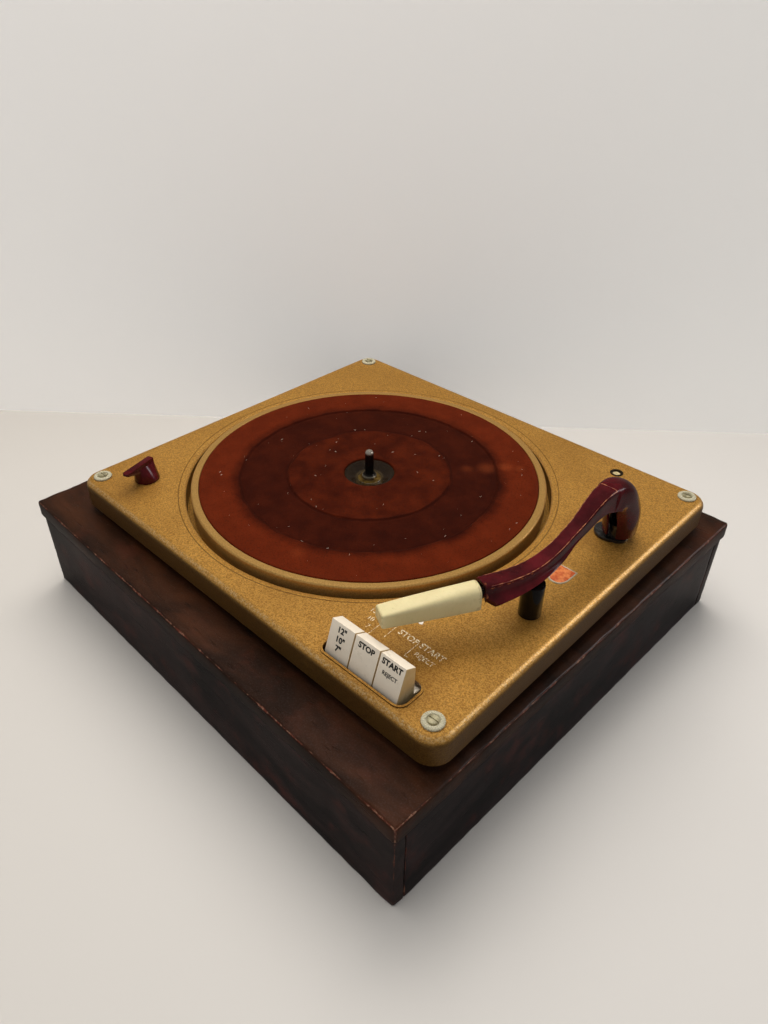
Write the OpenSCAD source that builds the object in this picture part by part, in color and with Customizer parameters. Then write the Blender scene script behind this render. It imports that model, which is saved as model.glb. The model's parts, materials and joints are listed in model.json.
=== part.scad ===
// Record player with automatic changer keys on a stained wooden plinth.
// Origin: middle of the plinth's underside, X to the user's right, Y to the back, Z up.

/* [Plinth] */
// Width of the top panel
panel_w = 427; // [410:1:460]
// Depth of the top panel
panel_d = 395; // [380:1:420]
// Thickness of the top panel
panel_t = 15.3; // [10:0.1:18]
// How far the top panel stands past the boards
panel_overhang = 2; // [1:0.5:5]
// Height of the boards
board_h = 71.5; // [66:0.5:110]
// Thickness of the boards
board_t = 9.4; // [6:0.2:12]
// Side of the glued corner blocks
block_side = 12; // [8:1:14]
// Length of the glued corner blocks
block_h = 52; // [30:1:60]
// Radius of the hole for the cable grommet
grommet_hole_r = 6; // [4:0.5:8]

/* [Deck plate] */
// Width of the deck plate
deck_w = 385.5; // [380:0.5:392]
// Depth of the deck plate
deck_d = 338; // [334:0.5:346]
// Thickness of the pressed steel
deck_t = 1.2; // [0.8:0.1:1.5]
// Corner radius of the deck plate in plan
deck_corner_r = 15; // [14:1:18]
// Outer radius of the rolled edge
deck_bend_r = 6; // [4:0.5:7]
// Height of the skirt, from its lower edge to the deck
skirt_h = 21.4; // [18:0.2:26]
// Air between the plinth and the skirt
deck_gap = 8; // [7:0.2:14]
// Middle of the deck, right of the plinth's middle
deck_x = 11.7; // [8:0.1:14]
// Middle of the deck, behind the plinth's middle
deck_y = 2.5; // [0:0.5:9]
// Turn of the deck on its springs, seen from above
deck_turn = 1.4; // [-2:0.1:2]
// Distance of the corner screws from the left and right edges
cup_inset_x = 14.3; // [13:0.1:16]
// Distance of the corner screws from the front and back edges
cup_inset_y = 14.1; // [13:0.1:16]
// Radius of the clear cup washers
cup_r = 7; // [6:0.25:7.5]
// Radius of the corner screws
screw_r = 2; // [1.5:0.1:2.4]
// Mean radius of the suspension springs
spring_r = 5.4; // [4:0.2:5.6]
// Radius of the wire of the suspension springs
spring_wire_r = 0.7; // [0.5:0.05:0.9]

/* [Platter] */
// Middle of the platter, from the middle of the deck
platter_x = -24.2; // [-28:0.1:-20]
// Middle of the platter, from the middle of the deck
platter_y = -0.5; // [-3:0.1:3]
// Outer radius of the platter
platter_r = 144.2; // [136:0.1:146]
// Width of the flat ring round the mat
rim_w = 6.2; // [4:0.1:8]
// Height of the ring above the deck
rim_rise = 3.8; // [2.5:0.1:6]
// Depth of the platter's skirt below the deck
platter_drop = 12; // [9:0.5:13]
// Wall of the platter's skirt
platter_wall = 2.5; // [2:0.1:3.5]
// Thickness of the platter's disc
platter_t = 1.6; // [1.2:0.1:2.2]
// Gap between the platter and the wall of the well
well_gap = 4.5; // [3:0.1:6]
// Depth of the well floor below the deck
well_depth = 14.8; // [14:0.1:16]
// Width of the sloping ledge round the well
ledge_w = 3.7; // [2.5:0.1:5]
// Thickness of the mat at its raised parts
mat_t = 3.2; // [2.6:0.1:4]
// Depth of the sunk ring in the mat
mat_step = 0.7; // [0.4:0.1:1]
// Inner radius of the sunk ring in the mat
mat_ring_inner = 67; // [50:0.5:80]
// Outer radius of the sunk ring in the mat
mat_ring_outer = 105.2; // [90:0.2:120]
// Radius of the dished hub in the middle
hub_dish_r = 20.5; // [17:0.5:24]
// Radius of the record spindle
spindle_r = 3.6; // [3.5:0.05:3.65]
// Height of the spindle above the mat
spindle_rise = 20.3; // [12:0.1:26]
// Radius of the bearing shaft
shaft_r = 5; // [4.4:0.1:5.4]
// Radial play of the running bearings
play = 0.05; // [0.02:0.01:0.08]

/* [Motor drive] */
// Direction of the drive, seen from the middle of the platter
drive_angle = 215; // [208:1:222]
// Radius of the idler wheel with its tyre
idler_r = 22; // [18:0.5:24]
// Thickness of the idler tyre
idler_t = 2.4; // [2:0.1:2.8]
// Radius of the large step of the motor pulley, for the fastest speed
pulley_78_r = 4.1; // [3.6:0.05:4.6]
// Radius of the middle step of the motor pulley
pulley_45_r = 2.4; // [2.1:0.05:2.8]
// Radius of the small step of the motor pulley
pulley_33_r = 1.8; // [1.6:0.05:2]
// Height of one step of the pulley
pulley_step = 3.4; // [3:0.1:3.5]
// Side of the square motor laminations
motor_side = 58; // [50:1:64]
// Height of the lamination stack
motor_stack = 22; // [16:1:26]
// Air between rubbing wheels at rest
nip = 0.15; // [0.1:0.01:0.3]

/* [Controls] */
// Speed knob from the left edge of the deck
knob_inset_x = 42.1; // [39:0.1:44]
// Speed knob from the front edge of the deck
knob_inset_y = 38.1; // [36:0.1:40]
// Height of the speed knob
knob_h = 16.5; // [12:0.5:22]
// Radius of the foot of the speed knob
knob_r = 10; // [8:0.5:12]
// Direction in which the knob points
knob_angle = -73.4; // [-90:0.2:-60]
// Reach of the knob's pointer from its axis
knob_nose = 22; // [16:0.5:24]
// Width of one key
key_w = 19.8; // [17:0.2:20]
// Spacing of the keys
key_pitch = 20.6; // [20.4:0.1:21.5]
// Right side of the last key, from the right edge of the deck
key_inset_x = 37.5; // [36:0.5:42]
// Foot of the keys' front face, from the front edge of the deck
key_inset_y = 9; // [9:0.5:12]
// Height of the keys above the deck
key_h = 22.5; // [16:0.1:26]

/* [Tone arm] */
// Arm pivot from the right edge of the deck
arm_inset_x = 28.2; // [26:0.1:30]
// Arm pivot behind the middle of the deck
arm_y = 69.7; // [64:0.1:74]
// Wall of the arm moulding
arm_wall = 2; // [1.6:0.1:2.2]
// Height of the hinge pin above the deck
hinge_h = 25.5; // [24:0.5:27]
// Radius of the hinge pin
hinge_r = 1.5; // [1.2:0.1:1.6]
// Radius of the rest post
post_r = 7.6; // [5:0.1:8]

/* [Hidden] */
$fn = 48;
hair = 0.3;
eps = 0.01;

panel_z = board_h;
panel_top = panel_z + panel_t;
deck_z = panel_top + deck_gap + skirt_h;
board_w = panel_w - 2 * panel_overhang;
board_d = panel_d - 2 * panel_overhang;
inner_w = board_w - 2 * board_t;
inner_d = board_d - 2 * board_t;
cut_left = -165;
cut_right = 178;
cut_front = -135;
cut_back = 135;
cut_r = 8;
grommet_z = 35;
grommet_x = -120;

well_r = platter_r + well_gap;
ledge_r = well_r + ledge_w;
floor_top = -well_depth;
floor_under = floor_top - deck_t;
space_h = skirt_h + deck_gap;
cup_x = deck_w / 2 - cup_inset_x;
cup_y = deck_d / 2 - cup_inset_y;
cup_h = 2.2;
screw_play = 0.25;
transit_x = 120;
transit_y = deck_d / 2 - 21.7;

disc_top = rim_rise + 0.4 - mat_t;
disc_under = disc_top - platter_t;
seat_r = platter_r - rim_w + 0.2;
rim_inner_r = platter_r - platter_wall;
dish_bottom = disc_under - 1.4;
bush_r = 9.6;
bush_bottom = floor_top + 2.8;
washer_t = 0.8;
spindle_collar_r = 6;

idler_dist = rim_inner_r - nip - idler_r;
motor_dist = idler_dist - idler_r - nip - pulley_78_r;
pulley_z = floor_top + 2.8;
idler_z = pulley_z + pulley_step / 2 - idler_t / 2;
carrier_t = 1.6;
carrier_z = idler_z - 0.5 - carrier_t;
guide_pin_r = 4;
guide_offset = 34;
speed_travel = 2 * pulley_step;
slide_travel = 14;
slide_z = floor_under - 10.6;
slide_t = 1.6;
ramp_z = slide_z + slide_t;
knob_x = -deck_w / 2 + knob_inset_x;
knob_y = -deck_d / 2 + knob_inset_y;
speed_shaft_r = 3;
crank_r = slide_travel;
crank_pin_r = 1.8;
speed_swing = 60;
stud_dists = [ledge_r + 3.2, ledge_r + 15.2];
bar_half = 4.5;
knob_dx = knob_x - platter_x;
knob_dy = knob_y - platter_y;
knob_radial = knob_dx * cos(drive_angle) + knob_dy * sin(drive_angle);
knob_tangent = knob_dy * cos(drive_angle) - knob_dx * sin(drive_angle);

motor_plate_z = floor_under - 8;
motor_plate_t = 2;
stack_top = motor_plate_z - 10;
stack_bottom = stack_top - motor_stack;
rotor_r = 13;
motor_screw_ring = 38;
motor_shaft_r = 2.2;

keys_right = deck_w / 2 - key_inset_x;
key_front = -deck_d / 2 + key_inset_y;
key_depth = 15.8;
key_rod_y = key_front + 46;
key_rod_h = -13;
key_rod_r = 2;
slot_left = keys_right - 2 * key_pitch - key_w - 4;
slot_right = keys_right + 4;
slot_front = key_front - 1.4;
slot_back = key_front + key_depth + 4.6;

arm_x = deck_w / 2 - arm_inset_x;
post_x = 1.1;
post_y = -113.4;
post_h = 26;
flange_h = 2.4;
swing_r = 3;
ear_gap = 5.4;
ear_t = 1.6;
ear_r = 3.4;
hinge_reach = 12.3;
head_angle = 27.5;
plug_r = 3.5;
plug_z = 30;
plug_seat = 8.4;
cartridge_top = 31.5;

PLINTH = "#33241d";
GOLD = "#b08446";
BAKELITE = "#5c1f24";
IVORY = "#d8cfa4";
STEEL = "#b9b9b4";
BRASS = "#b5933f";
BLACK = "#1c1a19";
RUBBER = "#2b2a28";

// Frames: each moves its children from a local place into the shared one
module on_deck() {
    translate([deck_x, deck_y, deck_z])
        rotate([0, 0, deck_turn])
            children();
}

module on_platter() {
    on_deck()
        translate([platter_x, platter_y, 0])
            children();
}

module on_drive(dist) {
    on_platter()
        rotate([0, 0, drive_angle])
            translate([dist, 0, 0])
                children();
}

module on_arm() {
    on_deck()
        translate([arm_x, arm_y, 0])
            children();
}

module at_corners(x, y) {
    for (sx = [-1, 1], sy = [-1, 1])
        translate([sx * x, sy * y, 0])
            children();
}

// Plain helpers
module rounded_rect(w, d, r) {
    square([w - 2 * r, d], center = true);
    square([w, d - 2 * r], center = true);
    at_corners(w / 2 - r, d / 2 - r)
        circle(r);
}

module slab(x0, x1, y0, y1, z0, z1, r) {
    translate([(x0 + x1) / 2, (y0 + y1) / 2, z0])
        linear_extrude(z1 - z0)
            rounded_rect(x1 - x0, y1 - y0, r);
}

module tube(outer, inner, z0, z1) {
    translate([0, 0, z0])
        difference() {
            cylinder(r = outer, h = z1 - z0);
            translate([0, 0, -eps])
                cylinder(r = inner, h = z1 - z0 + 2 * eps);
        }
}

module rod(r, z0, z1) {
    translate([0, 0, z0])
        cylinder(r = r, h = z1 - z0);
}

module ring_profile(points) {
    rotate_extrude($fn = 96)
        polygon(points);
}

// Skin of rings of points, closed by a flat face at each end
module loft(rings) {
    n = len(rings[0]);
    m = len(rings);
    side = [for (i = [0:m - 2], j = [0:n - 1], k = [0:1])
        k == 0 ? [i * n + j, i * n + (j + 1) % n, (i + 1) * n + (j + 1) % n]
               : [i * n + j, (i + 1) * n + (j + 1) % n, (i + 1) * n + j]];
    first = [for (j = [n - 1:-1:0]) j];
    last = [for (j = [0:n - 1]) (m - 1) * n + j];
    polyhedron([for (ring = rings) each ring], concat(side, [first], [last]), convexity = 8);
}

// Coil spring standing on z = 0, wound as one open tube
module coil_spring(r, wire, height, turns) {
    sides = 6;
    steps = 12 * turns;
    pitch = (height - 2 * wire) / steps;
    loft([for (i = [0:steps])
        [for (j = [0:sides - 1])
            let (turn = 30 * i, around = 360 * j / sides, out = r + wire * cos(around))
                [out * cos(turn), out * sin(turn), wire + pitch * i - wire * sin(around)]]]);
}

// Plinth: five dark stained pieces of wood and four glued blocks
module plinth_top_panel() {
    lip = panel_t / 3;
    color(PLINTH)
        difference() {
            union() {
                translate([0, 0, panel_z + lip])
                    linear_extrude(panel_t - lip)
                        rounded_rect(panel_w, panel_d, 2);
                translate([0, 0, panel_z])
                    linear_extrude(lip)
                        rounded_rect(panel_w - panel_overhang, panel_d - panel_overhang, 2);
            }
            on_deck()
                slab(cut_left, cut_right, cut_front, cut_back, -space_h - panel_t - 1, -space_h + 1, cut_r);
            on_deck() {
                at_corners(cup_x, cup_y)
                    rod(screw_r + screw_play, -space_h - panel_t - 1, -space_h + 1);
                translate([transit_x, transit_y, 0])
                    rod(screw_r, -space_h - panel_t + 3, -space_h + 1);
            }
        }
}

module long_board(side) {
    translate([-board_w / 2, side * (board_d - board_t) / 2 - board_t / 2, 0])
        cube([board_w, board_t, board_h]);
}

module side_board(side) {
    seam = 0.3;
    translate([side * (board_w - board_t) / 2 - board_t / 2, -inner_d / 2 + seam, 0])
        cube([board_t, inner_d - 2 * seam, board_h]);
}

module plinth_front_board() {
    color(PLINTH)
        long_board(-1);
}

module plinth_back_board() {
    color(PLINTH)
        difference() {
            long_board(1);
            translate([grommet_x, board_d / 2 + 1, grommet_z])
                rotate([90, 0, 0])
                    cylinder(r = grommet_hole_r, h = board_t + 2);
        }
}

module plinth_left_board() {
    color(PLINTH)
        side_board(-1);
}

module plinth_right_board() {
    color(PLINTH)
        side_board(1);
}

module corner_blocks() {
    x = (inner_w - block_side) / 2;
    y = (inner_d - block_side) / 2;
    color("#8a6a45")
        at_corners(x, y)
            translate([-block_side / 2, -block_side / 2, board_h - block_h])
                cube([block_side, block_side, block_h]);
}

// Rubber grommet in the back board, where the mains and pick-up leads leave
module cable_grommet() {
    lip_r = grommet_hole_r + 2.5;
    lip_t = 2;
    hole = grommet_hole_r - 2.5;
    half = board_t / 2;
    color(RUBBER)
        translate([grommet_x, (board_d - board_t) / 2, grommet_z])
            rotate([90, 0, 0]) {
                tube(grommet_hole_r, hole, -half, half);
                tube(lip_r, hole, half, half + lip_t);
                tube(lip_r, hole, -half - lip_t + 1, -half);
            }
}

// Deck plate: one steel pressing with a rolled edge, a well and a key opening
module roll_profile() {
    b = deck_bend_r;
    intersection() {
        translate([-b, -b])
            difference() {
                circle(b);
                circle(b - deck_t);
            }
        translate([-b, -b])
            square(b);
    }
    translate([-deck_t, -skirt_h])
        square([deck_t, skirt_h - b]);
}

module deck_edge(half_x, half_y, quarter) {
    rotate([0, 0, 90 * quarter]) {
        translate([half_x - deck_corner_r, half_y - deck_corner_r, 0])
            rotate_extrude(angle = 90)
                translate([deck_corner_r, 0])
                    roll_profile();
        translate([deck_corner_r - half_x, half_y, 0])
            rotate([90, 0, 90])
                linear_extrude(2 * (half_x - deck_corner_r))
                    roll_profile();
    }
}

module deck_skin() {
    translate([0, 0, -deck_t])
        linear_extrude(deck_t)
            rounded_rect(deck_w - 2 * deck_bend_r, deck_d - 2 * deck_bend_r, deck_corner_r - deck_bend_r);
    for (quarter = [0, 2])
        deck_edge(deck_w / 2, deck_d / 2, quarter);
    for (quarter = [1, 3])
        deck_edge(deck_d / 2, deck_w / 2, quarter);
}

module well() {
    hub = 7;
    ring_profile([
        [hub, floor_top], [well_r, floor_top], [well_r, -2.2], [well_r + 0.9, -1], [ledge_r, 0],
        [ledge_r + 0.8, 0], [ledge_r + 0.8, -deck_t], [well_r + 2, -2.4], [well_r + deck_t, -2.9],
        [well_r + deck_t, floor_under], [hub, floor_under]
    ]);
}

module key_slot(grow, z0, z1) {
    slab(slot_left - grow, slot_right + grow, slot_front - grow, slot_back + grow, z0, z1, 6 + grow);
}

module deck_plate() {
    lip_w = 1.5;
    lip_h = 0.9;
    color(GOLD)
        on_deck()
            difference() {
                union() {
                    difference() {
                        deck_skin();
                        translate([platter_x, platter_y, 0])
                            rod(ledge_r + 0.8, -deck_t - 1, 1);
                    }
                    translate([platter_x, platter_y, 0])
                        well();
                    key_slot(lip_w, -deck_t, lip_h);
                }
                key_slot(0, -deck_t - 1, lip_h + 1);
                at_corners(cup_x, cup_y)
                    rod(screw_r + 2 * screw_play, -deck_t - 1, 1);
                translate([transit_x, transit_y, 0])
                    rod(4.2, -deck_t - 1, 1);
                translate([knob_x, knob_y, 0])
                    rod(speed_shaft_r + play, -deck_t - 1, 1);
                translate([arm_x, arm_y, 0])
                    rod(6.2, -deck_t - 1, 1);
                translate([arm_x + post_x, arm_y + post_y, 0])
                    rod(3, -deck_t - 1, 1);
                translate([platter_x, platter_y, 0])
                    rotate([0, 0, drive_angle])
                        floor_holes();
            }
}

module floor_holes() {
    z0 = floor_under - 1;
    z1 = floor_top + 1;
    translate([motor_dist, 0, 0]) {
        rod(10, z0, z1);
        at_motor_screws()
            rod(4, z0, z1);
    }
    translate([idler_dist, guide_offset, 0])
        rod(6.2, z0, z1);
}

// Corner fixings: clear cup washer, screw, spring and nut at each corner
module cup_washers() {
    teeth = 28;
    color("#cfcaa8", 0.8)
        on_deck()
            at_corners(cup_x, cup_y)
                difference() {
                    union() {
                        rod(cup_r, 0, cup_h - 0.8);
                        rod(cup_r - 0.8, cup_h - 0.8, cup_h);
                        for (i = [0:teeth - 1])
                            rotate([0, 0, 360 * i / teeth])
                                translate([cup_r - 0.1, -0.3, 0])
                                    cube([0.4, 0.6, cup_h - 0.8]);
                    }
                    rod(screw_r + screw_play, -1, cup_h + 1);
                    rod(3.9, 1, cup_h + 1);
                }
}

module corner_screws() {
    head_r = 3.5;
    color(STEEL)
        on_deck()
            at_corners(cup_x, cup_y) {
                rod(screw_r, -space_h - panel_t - 7, 1);
                difference() {
                    rod(head_r, 1, 2.6);
                    translate([-head_r - 1, -0.4, 1.9])
                        cube([2 * head_r + 2, 0.8, 2]);
                }
            }
}

module suspension_springs() {
    color(STEEL)
        on_deck()
            at_corners(cup_x, cup_y)
                translate([0, 0, -space_h])
                    coil_spring(spring_r, spring_wire_r, space_h - deck_t, 6);
}

module corner_nuts() {
    color(BRASS)
        on_deck()
            at_corners(cup_x, cup_y)
                translate([0, 0, -space_h - panel_t])
                    difference() {
                        union() {
                            rod(5.5, -1, 0);
                            translate([0, 0, -4.2])
                                cylinder(r = 4, h = 3.2, $fn = 6);
                        }
                        rod(screw_r + eps, -5, 1);
                    }
}

module transit_screw() {
    color(BRASS)
        on_deck()
            translate([transit_x, transit_y, 0])
                difference() {
                    union() {
                        rod(4.2, -deck_t, 0.3);
                        rod(5.4, 0, 0.5);
                        rod(screw_r - 0.1, -space_h - panel_t + 4, -deck_t + eps);
                    }
                    rod(3.6, -0.7, 2);
                    translate([-3.2, -0.45, -1])
                        cube([6.4, 0.9, 3]);
                }
}

// Shield plate on the deck, left bare
module bare_badge() {
    w = 15;
    h = 20;
    color("#c9562e")
        on_deck()
            translate([arm_x - 5, arm_y - 67, 0])
                linear_extrude(0.6) {
                    translate([-w / 2, 0])
                        square([w, h / 2]);
                    intersection() {
                        translate([-w / 2, -h / 2])
                            square([w, h / 2 + eps]);
                        translate([-w / 2, 0])
                            circle(w * 1.02);
                        translate([w / 2, 0])
                            circle(w * 1.02);
                    }
                }
}

// Platter group
module platter() {
    boss_r = bush_r + 2.5;
    color("#bd9a5a")
        on_platter()
            ring_profile([
                [bush_r, dish_bottom], [hub_dish_r - 2, disc_top + 1.6], [hub_dish_r, disc_top + 2],
                [hub_dish_r, disc_top], [seat_r, disc_top], [seat_r, rim_rise - 0.3],
                [seat_r + 0.3, rim_rise], [platter_r - 0.8, rim_rise], [platter_r, rim_rise - 0.8],
                [platter_r, -platter_drop], [rim_inner_r, -platter_drop], [rim_inner_r, disc_under],
                [boss_r + 3, disc_under], [boss_r, dish_bottom - 1], [boss_r, bush_bottom + 2],
                [bush_r, bush_bottom + 2]
            ]);
}

module platter_mat() {
    top = disc_top + mat_t;
    low = top - mat_step;
    inner = hub_dish_r + hair;
    outer = seat_r - hair;
    color("#571c10")
        on_platter()
            ring_profile([
                [inner, disc_top], [outer, disc_top], [outer, top - 0.5], [outer - 0.5, top],
                [mat_ring_outer + mat_step, top], [mat_ring_outer, low], [mat_ring_inner, low],
                [mat_ring_inner - mat_step, top], [inner + 0.6, top], [inner, top - 0.6]
            ]);
}

module hub_bush() {
    color(BRASS)
        on_platter()
            ring_profile([
                [shaft_r + play, bush_bottom], [bush_r, bush_bottom], [bush_r, dish_bottom + 0.4],
                [bush_r - 1, dish_bottom + 0.8], [shaft_r + play, dish_bottom + 0.8]
            ]);
}

module bearing_shaft() {
    foot_r = 11;
    color(STEEL)
        on_platter()
            difference() {
                union() {
                    rod(foot_r, floor_top, floor_top + 2);
                    rod(7, floor_under - 3, floor_top);
                    rod(shaft_r, floor_top, dish_bottom + 0.6);
                }
                rod(2.2, floor_under - 4, dish_bottom + 2);
            }
}

module thrust_washer() {
    color("#d8d2c0")
        on_platter()
            tube(bush_r, shaft_r + play, floor_top + 2, floor_top + 2 + washer_t);
}

module spindle() {
    foot = dish_bottom + 0.9;
    top = disc_top + mat_t + spindle_rise;
    color(BLACK)
        on_platter()
            rotate_extrude()
                polygon([
                    [0, floor_under + 2], [2.1, floor_under + 2], [2.1, foot], [spindle_collar_r, foot],
                    [spindle_collar_r, foot + 2.4], [spindle_collar_r - 1, foot + 3.2],
                    [spindle_r, foot + 4], [spindle_r, top - 3], [spindle_r - 0.5, top - 1.4],
                    [spindle_r - 1.6, top - 0.4], [0, top]
                ]);
}

// Motor: shaded-pole motor hung from the well floor on three rubber bushes
module at_motor_screws() {
    for (angle = [95, -155, -25])
        rotate([0, 0, angle])
            translate([motor_screw_ring, 0, 0])
                children();
}

module at_core_bolts() {
    at_corners(motor_side / 2 - 5, motor_side / 2 - 5)
        children();
}

module motor_core() {
    window_w = 34;
    window_in = rotor_r + 2.6;
    window_out = motor_side / 2 - 5;
    color("#55514c")
        on_drive(motor_dist)
            difference() {
                translate([-motor_side / 2, -motor_side / 2, stack_bottom])
                    cube([motor_side, motor_side, motor_stack]);
                rod(rotor_r + 0.4, stack_bottom - 1, stack_top + 1);
                for (side = [0, 180])
                    rotate([0, 0, side])
                        translate([-window_w / 2, window_in, stack_bottom - 1])
                            cube([window_w, window_out - window_in, motor_stack + 2]);
            }
}

module motor_coil() {
    coil_w = 30;
    inside = rotor_r + 3;
    outside = motor_side / 2 + 6.6;
    leg_in = motor_side / 2 - 5.2;
    leg_out = motor_side / 2 + 0.2;
    wrap = 6;
    color("#9c4a22")
        on_drive(motor_dist)
            rotate([0, 0, 180])
                difference() {
                    slab(-coil_w / 2, coil_w / 2, inside, outside, stack_bottom - wrap, stack_top + wrap, 2.5);
                    translate([-coil_w / 2 - 1, leg_in, stack_bottom - 0.2])
                        cube([coil_w + 2, leg_out - leg_in, motor_stack + 0.4]);
                }
}

module motor_rotor() {
    color(STEEL)
        on_drive(motor_dist) {
            rod(rotor_r, stack_bottom, stack_top);
            rod(motor_shaft_r, stack_bottom - 12, pulley_z);
            rod(1.2, pulley_z, pulley_z + 3 * pulley_step);
        }
}

module motor_pulley() {
    color(BRASS)
        on_drive(motor_dist)
            difference() {
                union() {
                    rod(pulley_78_r, pulley_z, pulley_z + pulley_step);
                    rod(pulley_45_r, pulley_z + pulley_step, pulley_z + 2 * pulley_step);
                    rod(pulley_33_r, pulley_z + 2 * pulley_step, pulley_z + 3 * pulley_step);
                }
                rod(1.2, pulley_z - 1, pulley_z + 3 * pulley_step + 1);
            }
}

module motor_top_plate() {
    z0 = motor_plate_z - motor_plate_t;
    color("#8f8c84")
        on_drive(motor_dist)
            difference() {
                union() {
                    translate([0, 0, z0])
                        linear_extrude(motor_plate_t)
                            rounded_rect(motor_side - 2, motor_side - 2, 6);
                    at_motor_screws() {
                        rod(6.5, z0, motor_plate_z);
                        translate([-14, -6.5, z0])
                            cube([14, 13, motor_plate_t]);
                    }
                    rod(7, z0 - 4, motor_plate_z + 2);
                    at_core_bolts()
                        rod(4, stack_top, z0 + eps);
                }
                rod(motor_shaft_r + play, z0 - 5, motor_plate_z + 3);
                at_motor_screws()
                    rod(1.8, z0 - 1, motor_plate_z + 1);
            }
}

module motor_bottom_plate() {
    z1 = stack_bottom - 8;
    bar = motor_side - 10;
    color("#8f8c84")
        on_drive(motor_dist)
            difference() {
                union() {
                    translate([0, 0, z1 - motor_plate_t])
                        linear_extrude(motor_plate_t)
                            rounded_rect(bar + 10, bar + 10, 6);
                    rod(7, z1 - motor_plate_t - 2, z1 + 3);
                    at_core_bolts()
                        rod(4, z1 - eps, stack_bottom);
                }
                rod(motor_shaft_r + play, z1 - motor_plate_t - 3, z1 + 4);
            }
}

module motor_grommets() {
    color(RUBBER)
        on_drive(motor_dist)
            at_motor_screws() {
                tube(4, 1.8, floor_under, floor_top);
                tube(6, 1.8, floor_top, floor_top + 1.2);
                tube(6, 1.8, motor_plate_z, floor_under);
            }
}

module motor_screws() {
    color(STEEL)
        on_drive(motor_dist)
            at_motor_screws() {
                rod(1.8, motor_plate_z - motor_plate_t - 3, floor_top + 1.2);
                rod(3.2, floor_top + 1.2, floor_top + 2.4);
                rod(3.4, motor_plate_z - motor_plate_t - 2.4, motor_plate_z - motor_plate_t);
            }
}

// Idler: rubber-tyred wheel on a carrier that the speed slide lifts
module idler_wheel() {
    rim = idler_r - 2.5;
    color(STEEL)
        on_drive(idler_dist)
            difference() {
                union() {
                    rod(rim, idler_z + 0.6, idler_z + idler_t - 0.6);
                    rod(4, idler_z - 0.3, idler_z + idler_t + 0.5);
                    tube(rim, rim - 2, idler_z + 0.2, idler_z + idler_t - 0.2);
                }
                rod(1.5 + play, idler_z - 1, idler_z + idler_t + 2);
            }
}

module idler_tyre() {
    color(RUBBER)
        on_drive(idler_dist)
            tube(idler_r, idler_r - 2.5, idler_z, idler_z + idler_t);
}

module idler_carrier() {
    arm_half = 6;
    color("#8f8c84")
        on_drive(idler_dist) {
            rod(arm_half, carrier_z, carrier_z + carrier_t);
            translate([0, guide_offset, 0])
                rod(arm_half, carrier_z, carrier_z + carrier_t);
            translate([-arm_half, 0, carrier_z])
                cube([2 * arm_half, guide_offset, carrier_t]);
            rod(1.5, carrier_z, idler_z + idler_t + 1.2);
            translate([0, guide_offset, 0])
                rod(guide_pin_r, ramp_z + 0.2, carrier_z + eps);
        }
}

module idler_guide() {
    color(BRASS)
        on_drive(idler_dist)
            translate([0, guide_offset, 0])
                difference() {
                    union() {
                        rod(6.2, floor_under - 1.6, floor_top);
                        rod(7.6, floor_top, floor_top + 0.8);
                    }
                    rod(guide_pin_r + play, floor_under - 3, floor_top + 2);
                }
}

module idler_clip() {
    color(STEEL)
        on_drive(idler_dist)
            difference() {
                tube(3, 1.5, idler_z + idler_t + 0.55, idler_z + idler_t + 1.05);
                translate([0, -0.7, idler_z])
                    cube([4, 1.4, 6]);
            }
}

// Speed control: bar knob, shaft with a crank, and a slide with a ramp
module speed_knob() {
    top = [[-8, -2.6], [knob_nose - 1, -2.9], [knob_nose, -2], [knob_nose, 2], [knob_nose - 1, 2.9], [-8, 2.6]];
    color(BAKELITE)
        on_deck()
            translate([knob_x, knob_y, 0])
                difference() {
                    rotate([0, 0, knob_angle])
                        union() {
                            hull() {
                                rod(knob_r, hair, 1.6);
                                translate([-7, -3.4, knob_h - 4])
                                    cube([16, 6.8, 1]);
                            }
                            hull() {
                                translate([-7, -3.4, knob_h - 6])
                                    cube([15, 6.8, 1]);
                                translate([0, 0, knob_h - 2.2])
                                    linear_extrude(2.2)
                                        polygon(top);
                            }
                        }
                    rod(speed_shaft_r, -1, knob_h - 5);
                }
}

module speed_shaft() {
    plate_z = ramp_z + 0.6;
    plate_t = 1.6;
    color(STEEL)
        on_deck()
            translate([knob_x, knob_y, 0]) {
                rod(speed_shaft_r, plate_z, knob_h - 5);
                rod(speed_shaft_r + 2, -deck_t - 2.5, -deck_t - 0.1);
                rotate([0, 0, drive_angle - speed_swing]) {
                    translate([0, -3.5, plate_z])
                        cube([crank_r, 7, plate_t]);
                    rod(5, plate_z, plate_z + plate_t);
                    translate([crank_r, 0, 0]) {
                        rod(3.5, plate_z, plate_z + plate_t);
                        rod(crank_pin_r, slide_z, plate_z + eps);
                    }
                }
            }
}

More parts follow.
